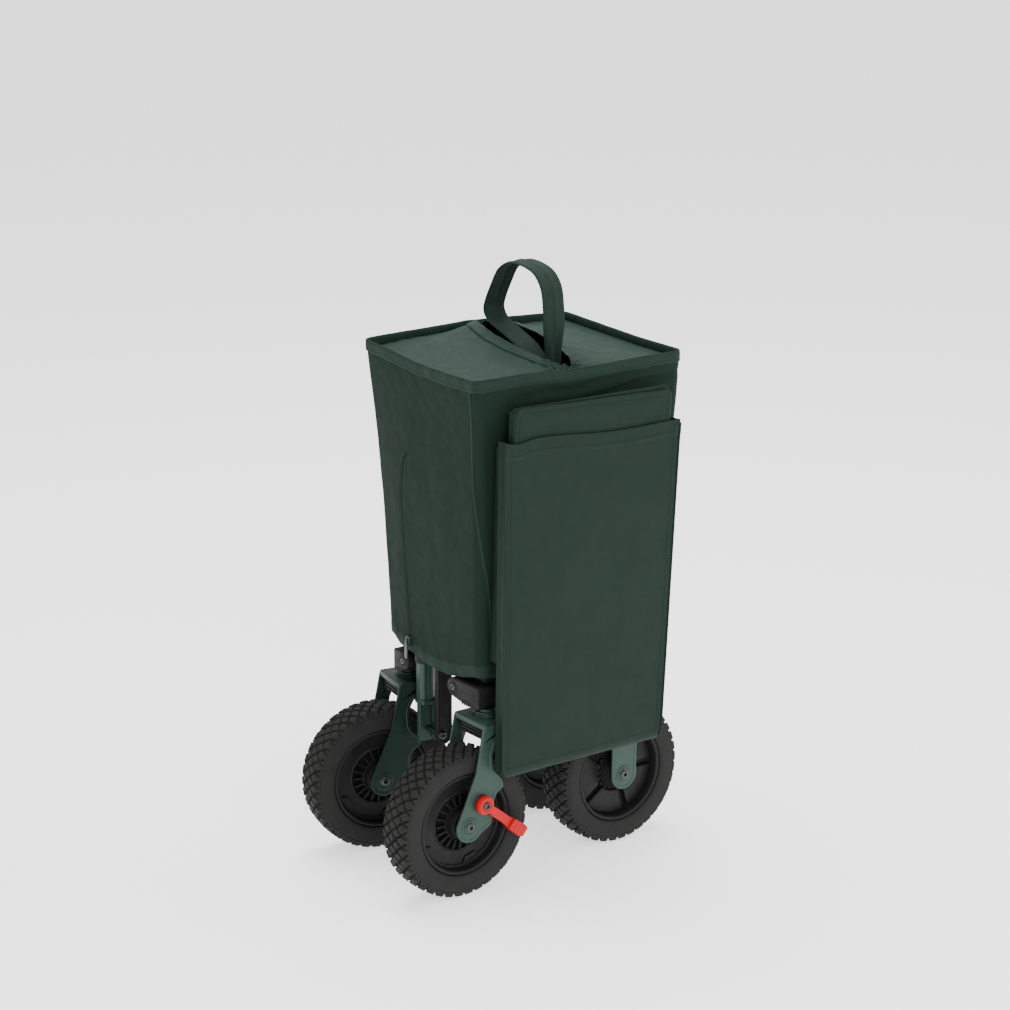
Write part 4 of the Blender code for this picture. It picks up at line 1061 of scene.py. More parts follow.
# ---- storage cover: top panel with the strap slot -------------------------------------------
SLOT_ENDS = (-0.0930, 0.0950)
SLOT_HALF = 0.0250
SLOT_HEM = 0.0122
RIDGE = {
    -1: np.array([(-0.122, 0.6480), (-0.095, 0.6500), (-0.0565, 0.6600), (0.0095, 0.6690),
                  (0.0755, 0.6800), (0.095, 0.6760), (0.122, 0.6600)]),
    1: np.array([(-0.122, 0.6470), (-0.095, 0.6490), (-0.0565, 0.6590), (-0.011, 0.6690),
                 (0.056, 0.6790), (0.095, 0.6740), (0.122, 0.6610)]),
}
FLAP_STEPS = np.array([0, 0.6, 1.6, 3, 5, 7, 9, 11, 12.6, 13.4, 14.2, 15, 16.5, 19, 22, 26]) / 1000


def rim_height(x, y):
    """Height of the rim's inner edge, carried across the top from its four sides."""
    half_x, half_y = COVER_TOP[0] / 2, COVER_TOP[1] / 2
    a, b = np.clip((x / half_x + 1) / 2, 0, 1), np.clip((y / half_y + 1) / 2, 0, 1)
    front, near = np.interp(1 - b, *RIM_LINE.T), np.interp(1 + a, *RIM_LINE.T)
    rear, far = np.interp(2 + b, *RIM_LINE.T), np.interp(4 - a, *RIM_LINE.T)
    c00, c10, c11, c01 = 0.6595, 0.6570, 0.6650, 0.6695
    flat = (1 - a) * (1 - b) * c00 + a * (1 - b) * c10 + a * b * c11 + (1 - a) * b * c01
    return (1 - a) * front + a * rear + (1 - b) * near + b * far - flat - 0.0118


top = Cloth()
top_thread = Cloth()
panel_y = np.linspace(-COVER_TOP[1] / 2 + 0.0020, COVER_TOP[1] / 2 - 0.0020, 112)
slot_share = np.clip((panel_y - SLOT_ENDS[0]) / (SLOT_ENDS[1] - SLOT_ENDS[0]), 0, 1)
opening = SLOT_HALF * np.clip(np.sin(math.pi * slot_share), 0, 1) ** 0.4
for side in (-1, 1):
    edge_x = side * (opening + 0.0004 * np.sin(panel_y * 300))
    edge_x = np.where(opening > 0, edge_x, 0)
    wall_x = COVER_TOP[0] / 2 - 0.0022
    reach = wall_x - opening
    beyond = FLAP_STEPS[-1] + (reach[:, None] - FLAP_STEPS[-1]) * np.linspace(0, 1, 34)[1:][None]
    away = np.concatenate([np.tile(FLAP_STEPS, (len(panel_y), 1)), beyond], 1)
    x = edge_x[:, None] + side * away
    y = np.tile(panel_y[:, None], (1, x.shape[1]))
    base = rim_height(x, y)
    ridge = np.interp(panel_y, *RIDGE[side].T)[:, None]
    share = np.clip(away / reach[:, None], 0, 1)
    lift = np.maximum(ridge - base[:, :1], -0.004)
    z = base + lift * (1 - share) ** 1.7
    grid = np.stack([x, y, z], -1)
    z += 0.0016 * ripple(grid, (16, 12, 0), 20 + side) * np.minimum(1, (1 - share) * 8)
    z += 0.0008 * ripple(grid, (52, 30, 0), 22 + side) * np.minimum(1, (1 - share) * 8)
    around = np.hypot(x, y - SLOT_ENDS[0])
    turn = np.arctan2(y - SLOT_ENDS[0], x)
    fade = np.exp(-((around - 0.012) / 0.022) ** 2) * (y < SLOT_ENDS[0] + 0.030)
    z += 0.0026 * np.sin(turn * 17 + 3 * ripple(grid, (20, 20, 0), 24)) * fade
    around = np.hypot(x, y - SLOT_ENDS[1])
    z += 0.0013 * np.sin(np.arctan2(y - SLOT_ENDS[1], x) * 13) * np.exp(-(around / 0.020) ** 2)
    hemmed = (1 - smooth(0.0134, 0.0144, away)) * (opening > 0.004)[:, None]
    z += 0.0013 * hemmed - 0.0009 * np.exp(-((away - 0.0152) / 0.0009) ** 2) * (opening > 0.004)[:, None]
    grid = np.stack([x, y, z], -1)
    if side > 0:
        grid = grid[:, ::-1]
    top.add(grid[::-1], grid_map(grid), 0.0013)
    inside = (panel_y > SLOT_ENDS[0] + 0.006) & (panel_y < SLOT_ENDS[1] - 0.004)
    column = np.array([[np.interp(SLOT_HEM, away[i], c) for c in np.stack([x[i], y[i], z[i]])]
                       for i in np.where(inside)[0]])
    top_thread.stitches(column, (0, 0, 1))
# the top panel's lighter colour is painted light
top_panel = top.object("cover_top_panel", "cover", TOP_CLOTH_PAINTED_LIGHT)
top_thread = top_thread.object("slot_stitching", "cover", THREAD)

# ---- zip ------------------------------------------------------------------------------------
PLACKET = {
    "left": np.array([(0.2740, 0.0563), (0.3400, 0.0565), (0.4570, 0.0615), (0.4900, 0.0590),
                      (0.5200, 0.0535), (0.5360, 0.0440), (0.5435, 0.0320)]),
    "right": np.array([(0.2740, 0.0427), (0.3430, 0.0452), (0.4650, 0.0465), (0.4900, 0.0440),
                       (0.5180, 0.0400), (0.5310, 0.0360), (0.5400, 0.0310)]),
}


def smooth_line(points, steps):
    """An even, softened line through (z, y) points."""
    z = np.linspace(points[0, 0], points[-1, 0], 400)
    y = np.interp(z, *points.T)
    kernel = np.hanning(41) / np.hanning(41).sum()
    padded = np.concatenate([np.full(20, y[0]), y, y[-1] + (y[-1] - y[-2]) * np.arange(1, 21)])
    y = np.convolve(padded, kernel, "valid")
    run = np.concatenate([[0], np.cumsum(np.hypot(np.diff(z), np.diff(y)))])
    even = np.linspace(0, run[-1], steps)
    return np.interp(even, run, z), np.interp(even, run, y)


zip_cloth = Cloth()
zip_thread = Cloth()
lines = {}
for name, points in PLACKET.items():
    z, y = smooth_line(points, 150)
    lines[name] = (z, y)
left_z, left_y = lines["left"]
right_z, right_y = lines["right"]
rows = []
for share, lift in ((0.0, 0.0000), (0.02, 0.0011), (0.10, 0.0015), (0.20, 0.0014), (0.26, 0.0007),
                    (0.32, 0.0005), (0.42, 0.0006), (0.5, 0.0006), (0.58, 0.0006), (0.68, 0.0005),
                    (0.74, 0.0007), (0.80, 0.0014), (0.90, 0.0015), (0.98, 0.0011), (1.0, 0.0000)):
    z = left_z + (right_z - left_z) * share
    y = left_y + (right_y - left_y) * share
    rows.append(on_wall(front_u(y, z), z, lift)[0])
placket = np.array(rows)
zip_cloth.add(placket, grid_map(placket), 0.0009)
for name, shift in (("left", 0.0011), ("right", -0.0011), ("left", -0.0021), ("right", 0.0021)):
    z, y = lines[name]
    spot, out = on_wall(front_u(y + shift, z), z, 0.0001 if abs(shift) < 0.002 else 0.0014)
    zip_thread.stitches(spot[:-3], out[:-3])
zip_cloth = zip_cloth.object("zip_placket", "cover", TAPE)
zip_thread = zip_thread.object("zip_stitching", "cover", THREAD)

zip_z = (left_z + right_z) / 2
zip_y = (left_y + right_y) / 2
spot, out = on_wall(front_u(zip_y, zip_z), zip_z, 0.0009)
run = lengths(spot)
TOOTH = 0.0016
teeth = Build()
places = np.arange(0.004, run[-1] - 0.006, TOOTH)
for i, length in enumerate(places):
    at = Vector(along_path(length, run, spot))
    ahead = Vector(along_path(length + 0.002, run, spot))
    up = Vector(along_path(length, run, out)).normalized()
    along = (ahead - at).normalized()
    across = along.cross(up)
    frame_now = Matrix((across, along, up)).transposed().to_4x4()
    side = 1 if i % 2 else -1
    teeth.box((-0.0016 + side * 0.0006, -0.00042, -0.0002), (0.0016 + side * 0.0006, 0.00042, 0.0009),
              Matrix.Translation(at) @ frame_now, bevel=0.0002, segments=1)
teeth.object("zip_teeth", "cover", PLASTIC)

# ---- zip slider and pull --------------------------------------------------------------------
slider_low, slider_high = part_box("zip_slider")
pull_low, pull_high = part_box("zip_pull")
slider_at = (slider_low + slider_high) / 2 - ORIGIN
pull_at = (pull_low + pull_high) / 2 - ORIGIN
pull_half = (pull_high - pull_low) / 2
slider = Build()
slider.box((-0.0020, -0.0044, -0.0062), (-0.0002, 0.0044, 0.0062), bevel=0.0008)
slider.box((0.0006, -0.0044, -0.0062), (0.0022, 0.0044, 0.0062), bevel=0.0007)
slider.box((-0.0008, -0.0012, 0.0010), (0.0010, 0.0012, 0.0060), bevel=0.0003)
slider.tube([(-0.0016, 0, -0.0040), (-0.0028, 0, -0.0030), (-0.0030, 0, 0.0000), (-0.0028, 0, 0.0030),
             (-0.0016, 0, 0.0042)], 0.0009, 8)
slider.object("cast_zip_slider", "zip_slider", DARK_STEEL, ["zip_slider"], at=slider_at)
pull = Build()
tab = rounded([(-0.0030, -pull_half.z), (0.0030, -pull_half.z), (0.0034, -0.002),
               (0.0022, pull_half.z - 0.004), (-0.0022, pull_half.z - 0.004), (-0.0034, -0.002)], 0.0020)
pull.plate(tab, -0.0007, 0.0007, Matrix.Rotation(math.pi / 2, 4, "Z"), bevel=0.0003)
ring = [(0, 0.0020 * math.cos(a), pull_half.z - 0.0028 + 0.0026 * math.sin(a))
        for a in (2 * math.pi * k / 20 for k in range(20))]
pull.tube(ring, 0.0006, 6, wrap=True, up=(1, 0, 0))
pull.object("stamped_zip_pull", "zip_pull", DARK_STEEL, ["zip_pull"], at=pull_at)

# ---- carry strap ----------------------------------------------------------------------------
STRAP_HALF = 0.0168
STRAP_ROUTE = (
    (-0.0400, 0.6340), (-0.0300, 0.6470), (-0.0100, 0.6615), (0.0100, 0.6700),
    (0.0314, 0.6775), (0.0530, 0.6860), (0.0632, 0.6970), (0.0612, 0.7110),
    (0.0475, 0.7355), (0.0289, 0.7580), (-0.0022, 0.7707), (-0.0390, 0.7650),
    (-0.0565, 0.7481), (-0.0625, 0.7238), (-0.0649, 0.6958), (-0.0640, 0.6750),
    (-0.0630, 0.6550), (-0.0620, 0.6340),
)


def catmull(points, steps):
    route = np.array([points[0], *points, points[-1]], float)
    t = (np.arange(steps) / steps)[:, None]
    parts = []
    for p, q, r, s in zip(route, route[1:], route[2:], route[3:]):
        parts.append(0.5 * (2 * q + (r - p) * t + (2 * p - 5 * q + 4 * r - s) * t ** 2
                            + (3 * q - p - 3 * r + s) * t ** 3))
    return np.concatenate([*parts, [points[-1]]])


route = catmull(STRAP_ROUTE, 10)
run = np.concatenate([[0], np.cumsum(np.hypot(*np.diff(route, axis=0).T))])
along = np.gradient(route, axis=0)
along /= np.linalg.norm(along, axis=1, keepdims=True)
off = np.stack([-along[:, 1], along[:, 0]], -1)
across = np.linspace(-1, 1, 27)
thick = 0.0012 * np.sqrt(np.clip(1 - np.abs(across) ** 14, 0, 1))
ridges = 0.0004 * np.exp(-((np.abs(across) - 0.80) / 0.10) ** 2)
bend = np.interp(run, (0.10, 0.16, 0.27, 0.36, 0.45), (0.0, 0.9, 0.6, 1.6, 0.2))[:, None]
crease = bend * (0.0010 * (across ** 2)[None] - 0.0016 * np.exp(-((across - 0.10) / 0.16) ** 2)[None])
sway = 0.0022 * np.sin(run * 21) + 0.0012 * np.sin(run * 47)
pinch = smooth(run[-1] - 0.068, run[-1] - 0.026, run)
crease = crease + pinch[:, None] * 0.0026 * np.sin(across * 4.4 + 0.6)[None]
wide = STRAP_HALF * (1 - 0.32 * pinch)


def strap_face(side):
    lift = crease + side * (thick + ridges)[None]
    x = across[None] * wide[:, None] + sway[:, None] * np.sin(math.pi * run / run[-1])[:, None]
    return np.stack([x, route[:, :1] + off[:, :1] * lift, route[:, 1:] + off[:, 1:] * lift], -1)


upper, lower = strap_face(1), strap_face(-1)[:, ::-1]
grid = np.concatenate([upper, lower, upper[:, :1]], 1)
strap = Cloth().add(grid, grid_map(grid), seam=True, caps=True)
strap = strap.object("webbing_carry_strap", "strap", WEBBING, ["carry_strap"])
strap_thread = Cloth()
for column in (2, 24):
    for face in (upper, strap_face(-1)):
        outward = face[:, column] - (upper[:, column] + strap_face(-1)[:, column]) / 2
        strap_thread.stitches(face[4:-4, column], outward[4:-4], length=0.0030, gap=0.0014, radius=0.00035)
strap_thread.object("strap_stitching", "strap", THREAD)

# ---- board pocket ---------------------------------------------------------------------------
POCKET_LOW = 0.1520
POCKET_LEFT = ((-0.1400, 0.1520), (-0.1345, 0.5850))
POCKET_RIGHT = ((0.1130, 0.1520), (0.1370, 0.5710))
POCKET_ROUND = 0.0200
POCKET_HEM = 0.0180


def pocket_grid():
    front = np.linspace(0, 1, 90)
    turn = np.linspace(0, 1, 9)[1:-1]
    share = np.concatenate([front, np.ones(7), front[::-1], np.zeros(7), [0.0]])
    back = np.concatenate([np.zeros(90), turn, np.ones(90), 1 - turn, [0.0]])
    t = np.concatenate([np.linspace(0, 0.05, 12), np.linspace(0.05, 0.93, 62)[1:],
                        np.linspace(0.93, 1, 14)[1:]])
    x_top = POCKET_LEFT[1][0] + share * (POCKET_RIGHT[1][0] - POCKET_LEFT[1][0])
    top = np.interp(share, (0, 1), (0.5850, 0.5735))
    top = top - 0.0045 * np.exp(-((share - 0.07) / 0.07) ** 2) + 0.0022 * np.sin(share * 7.0 + 0.4)
    top = top - 0.0040 * back * np.sin(math.pi * share)
    z = POCKET_LOW + t[:, None] * (top - POCKET_LOW)[None]
    left = np.interp(z, (POCKET_LEFT[0][1], POCKET_LEFT[1][1]), (POCKET_LEFT[0][0], POCKET_LEFT[1][0]))
    right = np.interp(z, (POCKET_RIGHT[0][1], POCKET_RIGHT[1][1]), (POCKET_RIGHT[0][0], POCKET_RIGHT[1][0]))
    below = np.clip(POCKET_ROUND - (z - POCKET_LOW), 0, POCKET_ROUND)
    eased = POCKET_ROUND - np.sqrt(POCKET_ROUND ** 2 - below ** 2)
    left, right = left + eased * 0.8, right - eased * 0.45
    x = left + share * (right - left)
    middle = (POCKET_FRONT + POCKET_BACK) / 2
    depth = (POCKET_BACK - POCKET_FRONT) / 2 * (2 * back - 1)
    full = np.sqrt(1 - (1 - np.clip(t / 0.030, 0, 1)) ** 2)[:, None]
    y = middle + depth[None] * (0.12 + 0.88 * full)
    side_in = 0.0018 * np.sin(math.pi * back) * (np.abs(share - 0.5) > 0.499)
    x = x + side_in * np.where(share < 0.5, 1, -1)
    grid = np.stack([x, y, z], -1)
    swell = np.sin(math.pi * np.clip(t, 0, 1))[:, None] ** 0.6 * np.sin(math.pi * share)[None] ** 0.5
    onto = (back < 0.5)[None] * swell
    uneven = 0.0012 * ripple(grid, (9, 0, 6), 31) + 0.0005 * ripple(grid, (30, 0, 18), 32)
    grid[..., 1] -= onto * (0.0022 + uneven)
    droop = np.exp(-((t - 0.90) / 0.05) ** 2)[:, None] * np.sin(math.pi * share)[None]
    grid[..., 1] += (back < 0.5) * 0.0007 * droop
    raised = smooth(POCKET_HEM + 0.0012, POCKET_HEM, top[None] - z) * (back < 0.5)
    grid[..., 1] -= 0.0009 * raised
    grid[:, -1] = grid[:, 0]
    return grid, share, back, top


grid, share, back, top = pocket_grid()
flip = normals(grid, True)[40, 40, 1] > 0
pocket = Cloth()
laid_out = grid[:, ::-1] if flip else grid
pocket.add(laid_out, grid_map(laid_out), 0.0012, seam=True)
pocket = pocket.object("pocket_bag", "cover", POCKET_CLOTH, ["board_pocket"])

pocket_trim = Cloth()
pocket_thread = Cloth()
for column in (0, 89):
    edge = grid[3:-2, column]
    out = np.tile((-0.6 if column == 0 else 0.6, -0.8, 0.0), (len(edge), 1))
    ring = np.stack([edge + out * 0.0004 + np.array((math.cos(a), math.sin(a), 0)) * 0.0011
                     for a in np.linspace(0, 2 * math.pi, 9)], 1)
    pocket_trim.add(ring, grid_map(ring), seam=True, caps=True)
    inner = grid[3:-2, 3 if column == 0 else 86]
    pocket_thread.stitches(inner + np.array((0, -0.0001, 0)), np.tile((0, -1, 0), (len(inner), 1)))
mouth = grid[:, 2:88]
line = np.array([along_path(top[c + 2] - POCKET_HEM + 0.0022, mouth[:, c, 2], mouth[:, c])
                 for c in range(mouth.shape[1])])
pocket_thread.stitches(line + np.array((0, -0.0002, 0)), np.tile((0, -1, 0), (len(line), 1)))
bottom = grid[7, 2:88]
pocket_thread.stitches(bottom + np.array((0, -0.0002, 0)), np.tile((0, -1, 0.3), (len(bottom), 1)))


def near_u(x, z):
    """Place round the cover of a width on its near side."""
    part = (1 + np.asarray(x) / (half_size(z)[0] - 0.0125)) / 2
    return 1 + CORNER_SHARE + (1 - 2 * CORNER_SHARE) * part


for x_at, lean in ((-0.1330, 1), (0.1120, -1)):
    z = np.linspace(0.2960, 0.5740, 46)
    start_x = x_at + np.interp(z, (0.296, 0.574), (0.0, 0.0030 if lean > 0 else 0.0170))
    joined, _ = on_wall(near_u(start_x + 0.004 * lean, z), z, -0.0004)
    start = np.stack([start_x, np.full_like(z, POCKET_BACK - 0.0010), z], -1)
    rows = []
    for step in np.linspace(0, 1, 12):
        spot = start * (1 - step) + joined * step
        spot[:, 0] += lean * 0.0045 * math.sin(math.pi * step) * (1 + 0.4 * np.sin(z * 60))
        rows.append(spot)
    wing = np.array(rows)
    pocket_trim.add(wing, grid_map(wing), 0.0012)
pocket_trim = pocket_trim.object("pocket_gussets", "cover", POCKET_CLOTH)
pocket_thread = pocket_thread.object("pocket_stitching", "cover", THREAD)

# ---- folded floor boards --------------------------------------------------------------------
BOARD_W, BOARD_H, BOARD_T, BOARD_PITCH = 0.2430, 0.4600, 0.0029, 0.0031
BOARD_TILT = math.radians(2.2)
BOARD_CORNER = (-0.1355, 0.1640)
FIRST_Y = (POCKET_FRONT + POCKET_BACK) / 2 - BOARD_PITCH * 1.5


def rounded_slab(width, height, radii, inset):
    """Outline of a board about its lower left corner, drawn in by inset."""
    points = []
    corners = ((0, 0, 1, 1, 180), (width, 0, -1, 1, 270), (width, height, -1, -1, 0), (0, height, 1, -1, 90))
    for (cx, cz, sx, sz, start), radius in zip(corners, radii):
        size = max(radius - inset, 0.0008)
        centre = (cx + sx * max(radius, inset + 0.0008), cz + sz * max(radius, inset + 0.0008))
        points += arc(*centre, size, start, start + 90, 7)
    dense = []
    for i, point in enumerate(points):
        following = points[(i + 1) % len(points)]
        count = max(1, int(math.dist(point, following) / 0.012))
        dense += [tuple(np.array(point) + (np.array(following) - point) * k / count) for k in range(count)]
    return np.array([*dense, dense[0]])


def on_boards(u, v, y):
    """Places u along and v up the tilted boards, at a depth y."""
    return np.stack([
        BOARD_CORNER[0] + u * math.cos(BOARD_TILT) + v * math.sin(BOARD_TILT), y + 0 * v,
        BOARD_CORNER[1] - u * math.sin(BOARD_TILT) + v * math.cos(BOARD_TILT)], -1)


boards = Cloth()
boards_thread = Cloth()
for i in range(4):
    radii = (0.004, 0.004, 0.006, 0.010 if i == 0 else 0.005)
    base = rounded_slab(BOARD_W, BOARD_H, radii, 0.0)
    middle = base[:-1].mean(0)
    y = FIRST_Y + i * BOARD_PITCH
    rows = []
    for inset, rise in ((0.0300, -0.86), (0.0150, -1.0), (0.0065, -0.98), (0.0050, -0.74), (0.0036, -0.98),
                        (0.0012, -0.90), (0.0002, -0.55), (0.0, 0.0), (0.0002, 0.55), (0.0012, 0.90),
                        (0.0036, 0.98), (0.0050, 0.74), (0.0065, 0.98), (0.0150, 1.0), (0.0300, 0.86)):
        scale = np.array(((BOARD_W - 2 * inset) / BOARD_W, (BOARD_H - 2 * inset) / BOARD_H))
        loop = (base - middle) * scale + middle
        u, v = loop[:, 0], loop[:, 1]
        raise_v = 0.0024 * i * (u / BOARD_W) * smooth(0.25, 1.0, v / BOARD_H)
        v = v + raise_v - (0.0016 if i % 2 else 0.0)
        wave_y = 0.0003 * np.sin(u * 40 + i * 2) * smooth(0.8, 1.0, v / BOARD_H)
        rows.append(on_boards(u, v, y + rise * BOARD_T / 2 + wave_y))
    slab = np.array(rows)
    cloth_map = slab[..., (0, 2)].copy()
    boards.add(slab, cloth_map, seam=True, caps=True)
    if i == 0:
        boards_thread.stitches(slab[2] + np.array((0, -0.0001, 0)), np.tile((0, -1, 0), (slab.shape[1], 1)))
for i in range(3):
    side_u = -0.0002 if i % 2 == 0 else BOARD_W + 0.0002
    v = np.linspace(0.004, BOARD_H - 0.004, 40)
    bulge = -1 if i % 2 == 0 else 1
    y0 = FIRST_Y + (i + 0.5) * BOARD_PITCH
    rows = []
    for a in np.linspace(-90, 90, 9):
        u = side_u + bulge * 0.0016 * math.cos(math.radians(a))
        y = y0 + 0.0028 * math.sin(math.radians(a))
        rows.append(on_boards(u, v, y))
    fold = np.array(rows)
    boards.add(fold, grid_map(fold), 0.0006)
boards = boards.object("folded_floor_mat", "boards", POCKET_CLOTH, ["floor_boards"])
boards_thread.object("mat_stitching", "boards", THREAD)

# ---- folded tub -----------------------------------------------------------------------------
BUNDLE_HALF = (0.0790, 0.0610)
BUNDLE_Z = (0.2860, 0.5990)
BUNDLE_SQUARE = 0.42
BUNDLE_EASE = 0.05
BELT_HEIGHTS = (0.3650, 0.5200)
angle = np.linspace(0, 2 * math.pi, 241)
square_x = np.sign(np.cos(angle)) * np.abs(np.cos(angle)) ** BUNDLE_SQUARE
square_y = np.sign(np.sin(angle)) * np.abs(np.sin(angle)) ** BUNDLE_SQUARE
rows = []
for level in np.linspace(0, 1, 60):
    from_end = min(level, 1 - level, BUNDLE_EASE) / BUNDLE_EASE
    size = 0.55 + 0.45 * math.sqrt(1 - (1 - from_end) ** 2)
    x = square_x * BUNDLE_HALF[0] * size
    y = square_y * BUNDLE_HALF[1] * size
    wander = 2.2 * math.sin(level * 3.1) + 0.6 * np.sin(angle * 5)
    pleat = 1 - 0.030 * (0.5 + 0.5 * np.cos(angle * 22 + wander))
    sag = 1 - 0.02 * math.sin(level * math.pi * 3) ** 2
    rows.append(np.stack([x * pleat * sag, FRAME_Y + y * pleat * sag,
                          BUNDLE_Z[0] + level * (BUNDLE_Z[1] - BUNDLE_Z[0]) + 0 * angle], -1))
tub = np.array(rows)
tub[:, -1] = tub[:, 0]
tub = Cloth().add(tub, grid_map(tub), seam=True, caps=True)
tub = tub.object("pleated_tub", "frame", TUB_CLOTH, ["tub_bundle"])
belts = Cloth()
for z in BELT_HEIGHTS:
    ring = []
    for up, out in ((-0.0125, 0.0006), (-0.0120, 0.0018), (0.0120, 0.0018), (0.0125, 0.0006)):
        x = square_x * (BUNDLE_HALF[0] + out)
        y = square_y * (BUNDLE_HALF[1] + out)
        ring.append(np.stack([x, FRAME_Y + y, z + up + 0 * angle], -1))
    ring = np.array(ring)
    ring[:, -1] = ring[:, 0]
    belts.add(ring, grid_map(ring), 0.0008, seam=True)
belts.object("tub_belts", "frame", WEBBING)

# ---- corner blocks --------------------------------------------------------------------------
TURNED = Matrix.Rotation(math.pi / 2, 4, "Z")
for end in ("front", "rear"):
    for name, side in SIDE.items():
        corner = f"{end}_{name}"
        low, high = BLOCK_Z
        inner = BLOCK_INNER[name] + BLOCK_END_R
        loop = [(BLOCK_OUTER[corner], high), (BLOCK_OUTER[corner], low), (0.0760, low),
                *arc(inner, high - BLOCK_END_R, BLOCK_END_R, 250, 90, 20)]
        loop = rounded([(FRAME_Y + side * u, v) for u, v in loop], 0.0030)
        x_low, x_high = BLOCK_X[corner]
        block = Build().plate(loop, -x_high, -x_low, TURNED, bevel=0.0018, segments=3)
        front = x_low if end == "front" else x_high
        look = -1 if end == "front" else 1
        for k in range(4):
            y = FRAME_Y + side * (0.0720 + k * 0.0046)
            block.box((front - 0.0004, y - 0.0011, low - 0.0003), (front + 0.0004, y + 0.0011, low + 0.0060),
                      bevel=0.0003)
        screw_at = (FRAME_Y + side * inner, -front, high - BLOCK_END_R)
        block.turned([(0.0054, -0.0004), (0.0085, -0.0004), (0.0083, 0.0005), (0.0076, 0.0008),
                      (0.0060, 0.0008), (0.0056, 0.0002)], 36,
                     TURNED @ Matrix.Translation(screw_at) @ facing(-look))
        block.object(f"moulded_block_{corner}", "frame", PLASTIC, [f"corner_block_{corner}"])
        screw = Build()
        bolt(screw, screw_at, 0.0048, 0.0016, -look, matrix=TURNED)
        screw.object(f"block_screw_{corner}", "frame", DARK_STEEL)

# ---- rear hangers ---------------------------------------------------------------------------
for name, side in SIDE.items():
    at = (REAR_X, FRAME_Y + side * REAR_Y, AXLE_Z)
    top_z = HANGER_TOP - AXLE_Z
    left, right = HANGER_X[0] - REAR_X, HANGER_X[1] - REAR_X
    edge = rounded([(left, top_z), *arc(0, 0, AXLE_END_R, 175, 370, 24), (right, top_z)], 0.003)
    hanger = cheeks(Build(), edge, HANGER_OUT, 0.0007, HANGER_BOSS, 0.0009)
    hanger.box((left, -HANGER_OUT, top_z - PLATE), (right, HANGER_OUT, top_z), bevel=0.0010)
    hanger.object(f"pressed_hanger_{name}", "frame", PAINT, [f"rear_hanger_{name}"], at=at)
    axle = axle_with_bolts(HANGER_OUT - 0.0007, 0.0082, 0.0290)
    axle.object(f"rear_axle_bolt_{name}", "frame", DARK_STEEL, [f"rear_axle_{name}"], at=at)

# ---- pull handle ----------------------------------------------------------------------------
TUBE_LOW, TUBE_HIGH = 0.2050, 0.4000
FOOT_LOW, FOOT_HIGH = 0.1470, 0.2047
HINGE_Z = 0.1640
angle = np.arange(72) * 2 * math.pi / 72
bearing = (angle - math.radians(215) + math.pi) % (2 * math.pi) - math.pi
radius = 0.0118 + 0.0007 * (1 - smooth(0.30, 0.42, np.abs(bearing))) - 0.0007 * np.exp(
    -((np.abs(bearing) - 0.62) / 0.10) ** 2)
ring = np.stack([np.cos(angle), np.sin(angle), 0 * angle], -1)
rows = []
for inset, z in ((0.0010, TUBE_LOW), (0.0003, TUBE_LOW + 0.0003), (0.0, TUBE_LOW + 0.0012),
                 (0.0, TUBE_HIGH - 0.0012), (0.0010, TUBE_HIGH)):
    rows.append(ring * (radius - inset)[:, None] + np.array((TUBE_X, TUBE_Y, z)))
for size, z in ((0.0104, TUBE_HIGH), (0.0104, TUBE_LOW)):
    rows.append(ring * size + np.array((TUBE_X, TUBE_Y, z)))
tube = Build().grid(np.array(rows), True, True)
tube.object("ridged_handle_tube", "frame", PAINT, ["handle_outer_tube"])
collar = Build()
collar.turned([(0.0119, -0.006), (0.0131, -0.006), (0.0134, -0.004), (0.0134, 0.004), (0.0131, 0.006),
               (0.0119, 0.006)], 48, Matrix.Translation((TUBE_X, TUBE_Y, 0.2600)) @ Matrix.Rotation(
                   math.pi / 2, 4, "X"))
collar.object("handle_tube_collar", "frame", PLASTIC)
UPRIGHT = Matrix.Translation((TUBE_X, TUBE_Y, 0)) @ Matrix.Rotation(-math.pi / 2, 4, "X")
foot_plan = rounded([
    (0.0118, -0.0123), (0.0118, 0.0123), (0.0072, 0.0123), (0.0072, 0.0050), (-0.0113, 0.0040),
    (-0.0113, -0.0040), (0.0072, -0.0050), (0.0072, -0.0123),
], 0.0014)
foot = Build().plate(foot_plan, -FOOT_HIGH, -FOOT_LOW, UPRIGHT, bevel=0.0008)
foot.box((TUBE_X - 0.0100, TUBE_Y - 0.0110, FOOT_HIGH - 0.0080),
         (TUBE_X + 0.0100, TUBE_Y + 0.0110, FOOT_HIGH - 0.0002), bevel=0.0020)
foot.object("pressed_handle_foot", "frame", PAINT, ["handle_foot"])
hinge = Build()
bolt(hinge, (TUBE_X, TUBE_Y + 0.0044, HINGE_Z), 0.0056, 0.0028, 1)
bolt(hinge, (TUBE_X, 0.0042, HINGE_Z), 0.0056, 0.0028, -1)
hinge.turned([(0, 0.0042), (0.0038, 0.0042), (0.0038, TUBE_Y + 0.0046), (0, TUBE_Y + 0.0046)], 20,
             Matrix.Translation((TUBE_X, 0, HINGE_Z)), wrap=False)
hinge.object("handle_hinge_bolt", "frame", DARK_STEEL, ["handle_hinge_pin"])
carrier = Build()
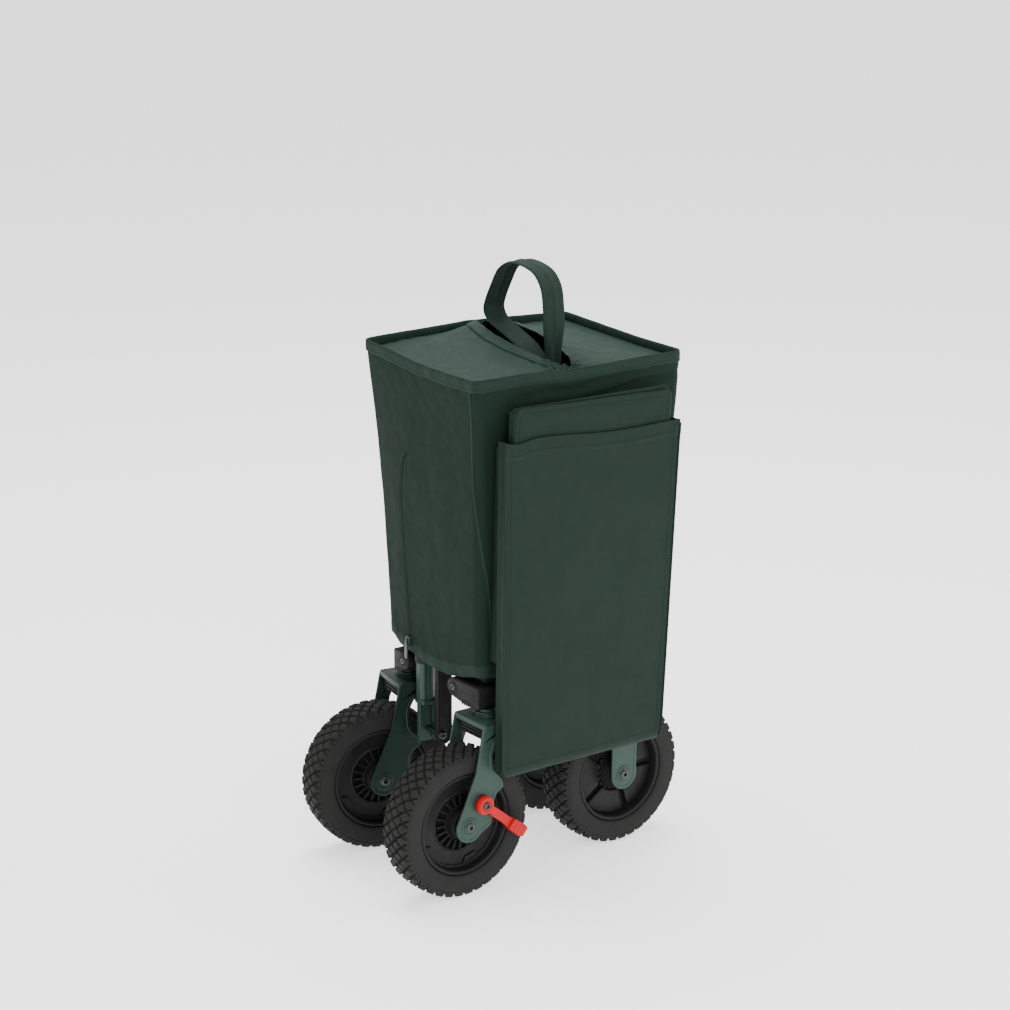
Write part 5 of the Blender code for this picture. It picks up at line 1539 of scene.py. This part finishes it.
carrier.box((-0.1105, FRAME_Y - 0.0720, 0.2625), (-0.0900, FRAME_Y + 0.0720, 0.2790), bevel=0.0022)
for k in range(9):
    y = FRAME_Y - 0.0640 + k * 0.0160
    carrier.box((-0.1112, y - 0.0012, 0.2640), (-0.1100, y + 0.0012, 0.2775), bevel=0.0004)
arm = rounded([(-0.1308, 0.2778), (-0.1308, 0.1620), (-0.1270, 0.1520), (-0.1200, 0.1500), (-0.1120, 0.1540),
               (-0.1090, 0.1640), (-0.1088, 0.2778)], 0.0040)
carrier.plate(arm, 0.0042, 0.0138, bevel=0.0012, rim=0.0022, sink=0.0010)
carrier.object("ribbed_handle_bracket", "frame", PLASTIC, ["handle_carrier"])

# ---- hub and strap anchor -------------------------------------------------------------------
hub = Build()
hub.turned([(0, -0.0106), (0.0340, -0.0106), (0.0348, -0.0096), (0.0348, -0.0020), (0.0330, 0.0010),
            (0.0300, 0.0030), (0.0285, 0.0100), (0.0265, 0.0106), (0.0160, 0.0106), (0.0150, 0.0080),
            (0, 0.0080)], 64, Matrix.Rotation(math.pi / 2, 4, "X"), wrap=False)
for k in range(12):
    hub.box((-0.0012, 0.0160, -0.0090), (0.0012, 0.0335, 0.0020), Matrix.Rotation(math.pi * k / 6, 4, "Z"),
            bevel=0.0004)
hub.object("moulded_floor_hub", "frame", PLASTIC, ["floor_hub"], at=(0, FRAME_Y, HUB_Z))
anchor = Build()
anchor.box((-0.0094, -0.0698, 0.6004), (0.0094, -0.0322, 0.6302), bevel=0.0030, segments=3)
anchor.box((-0.0100, -0.0660, 0.6080), (0.0100, -0.0360, 0.6240), bevel=0.0016)
anchor.object("moulded_strap_anchor", "frame", PLASTIC, ["strap_anchor"])

# ---- look at the rest of the frame ----------------------------------------------------------
for name, node in frame["nodes"].items():
    if node.hide_render:
        continue
    finish = PAINT
    if "slider_" in name or name == "handle_grip":
        finish = PLASTIC
    elif name == "handle_inner_tube":
        finish = ZINC
    elif name == "handle_button":
        finish = RED
    for slot in node.material_slots:
        slot.material = finish
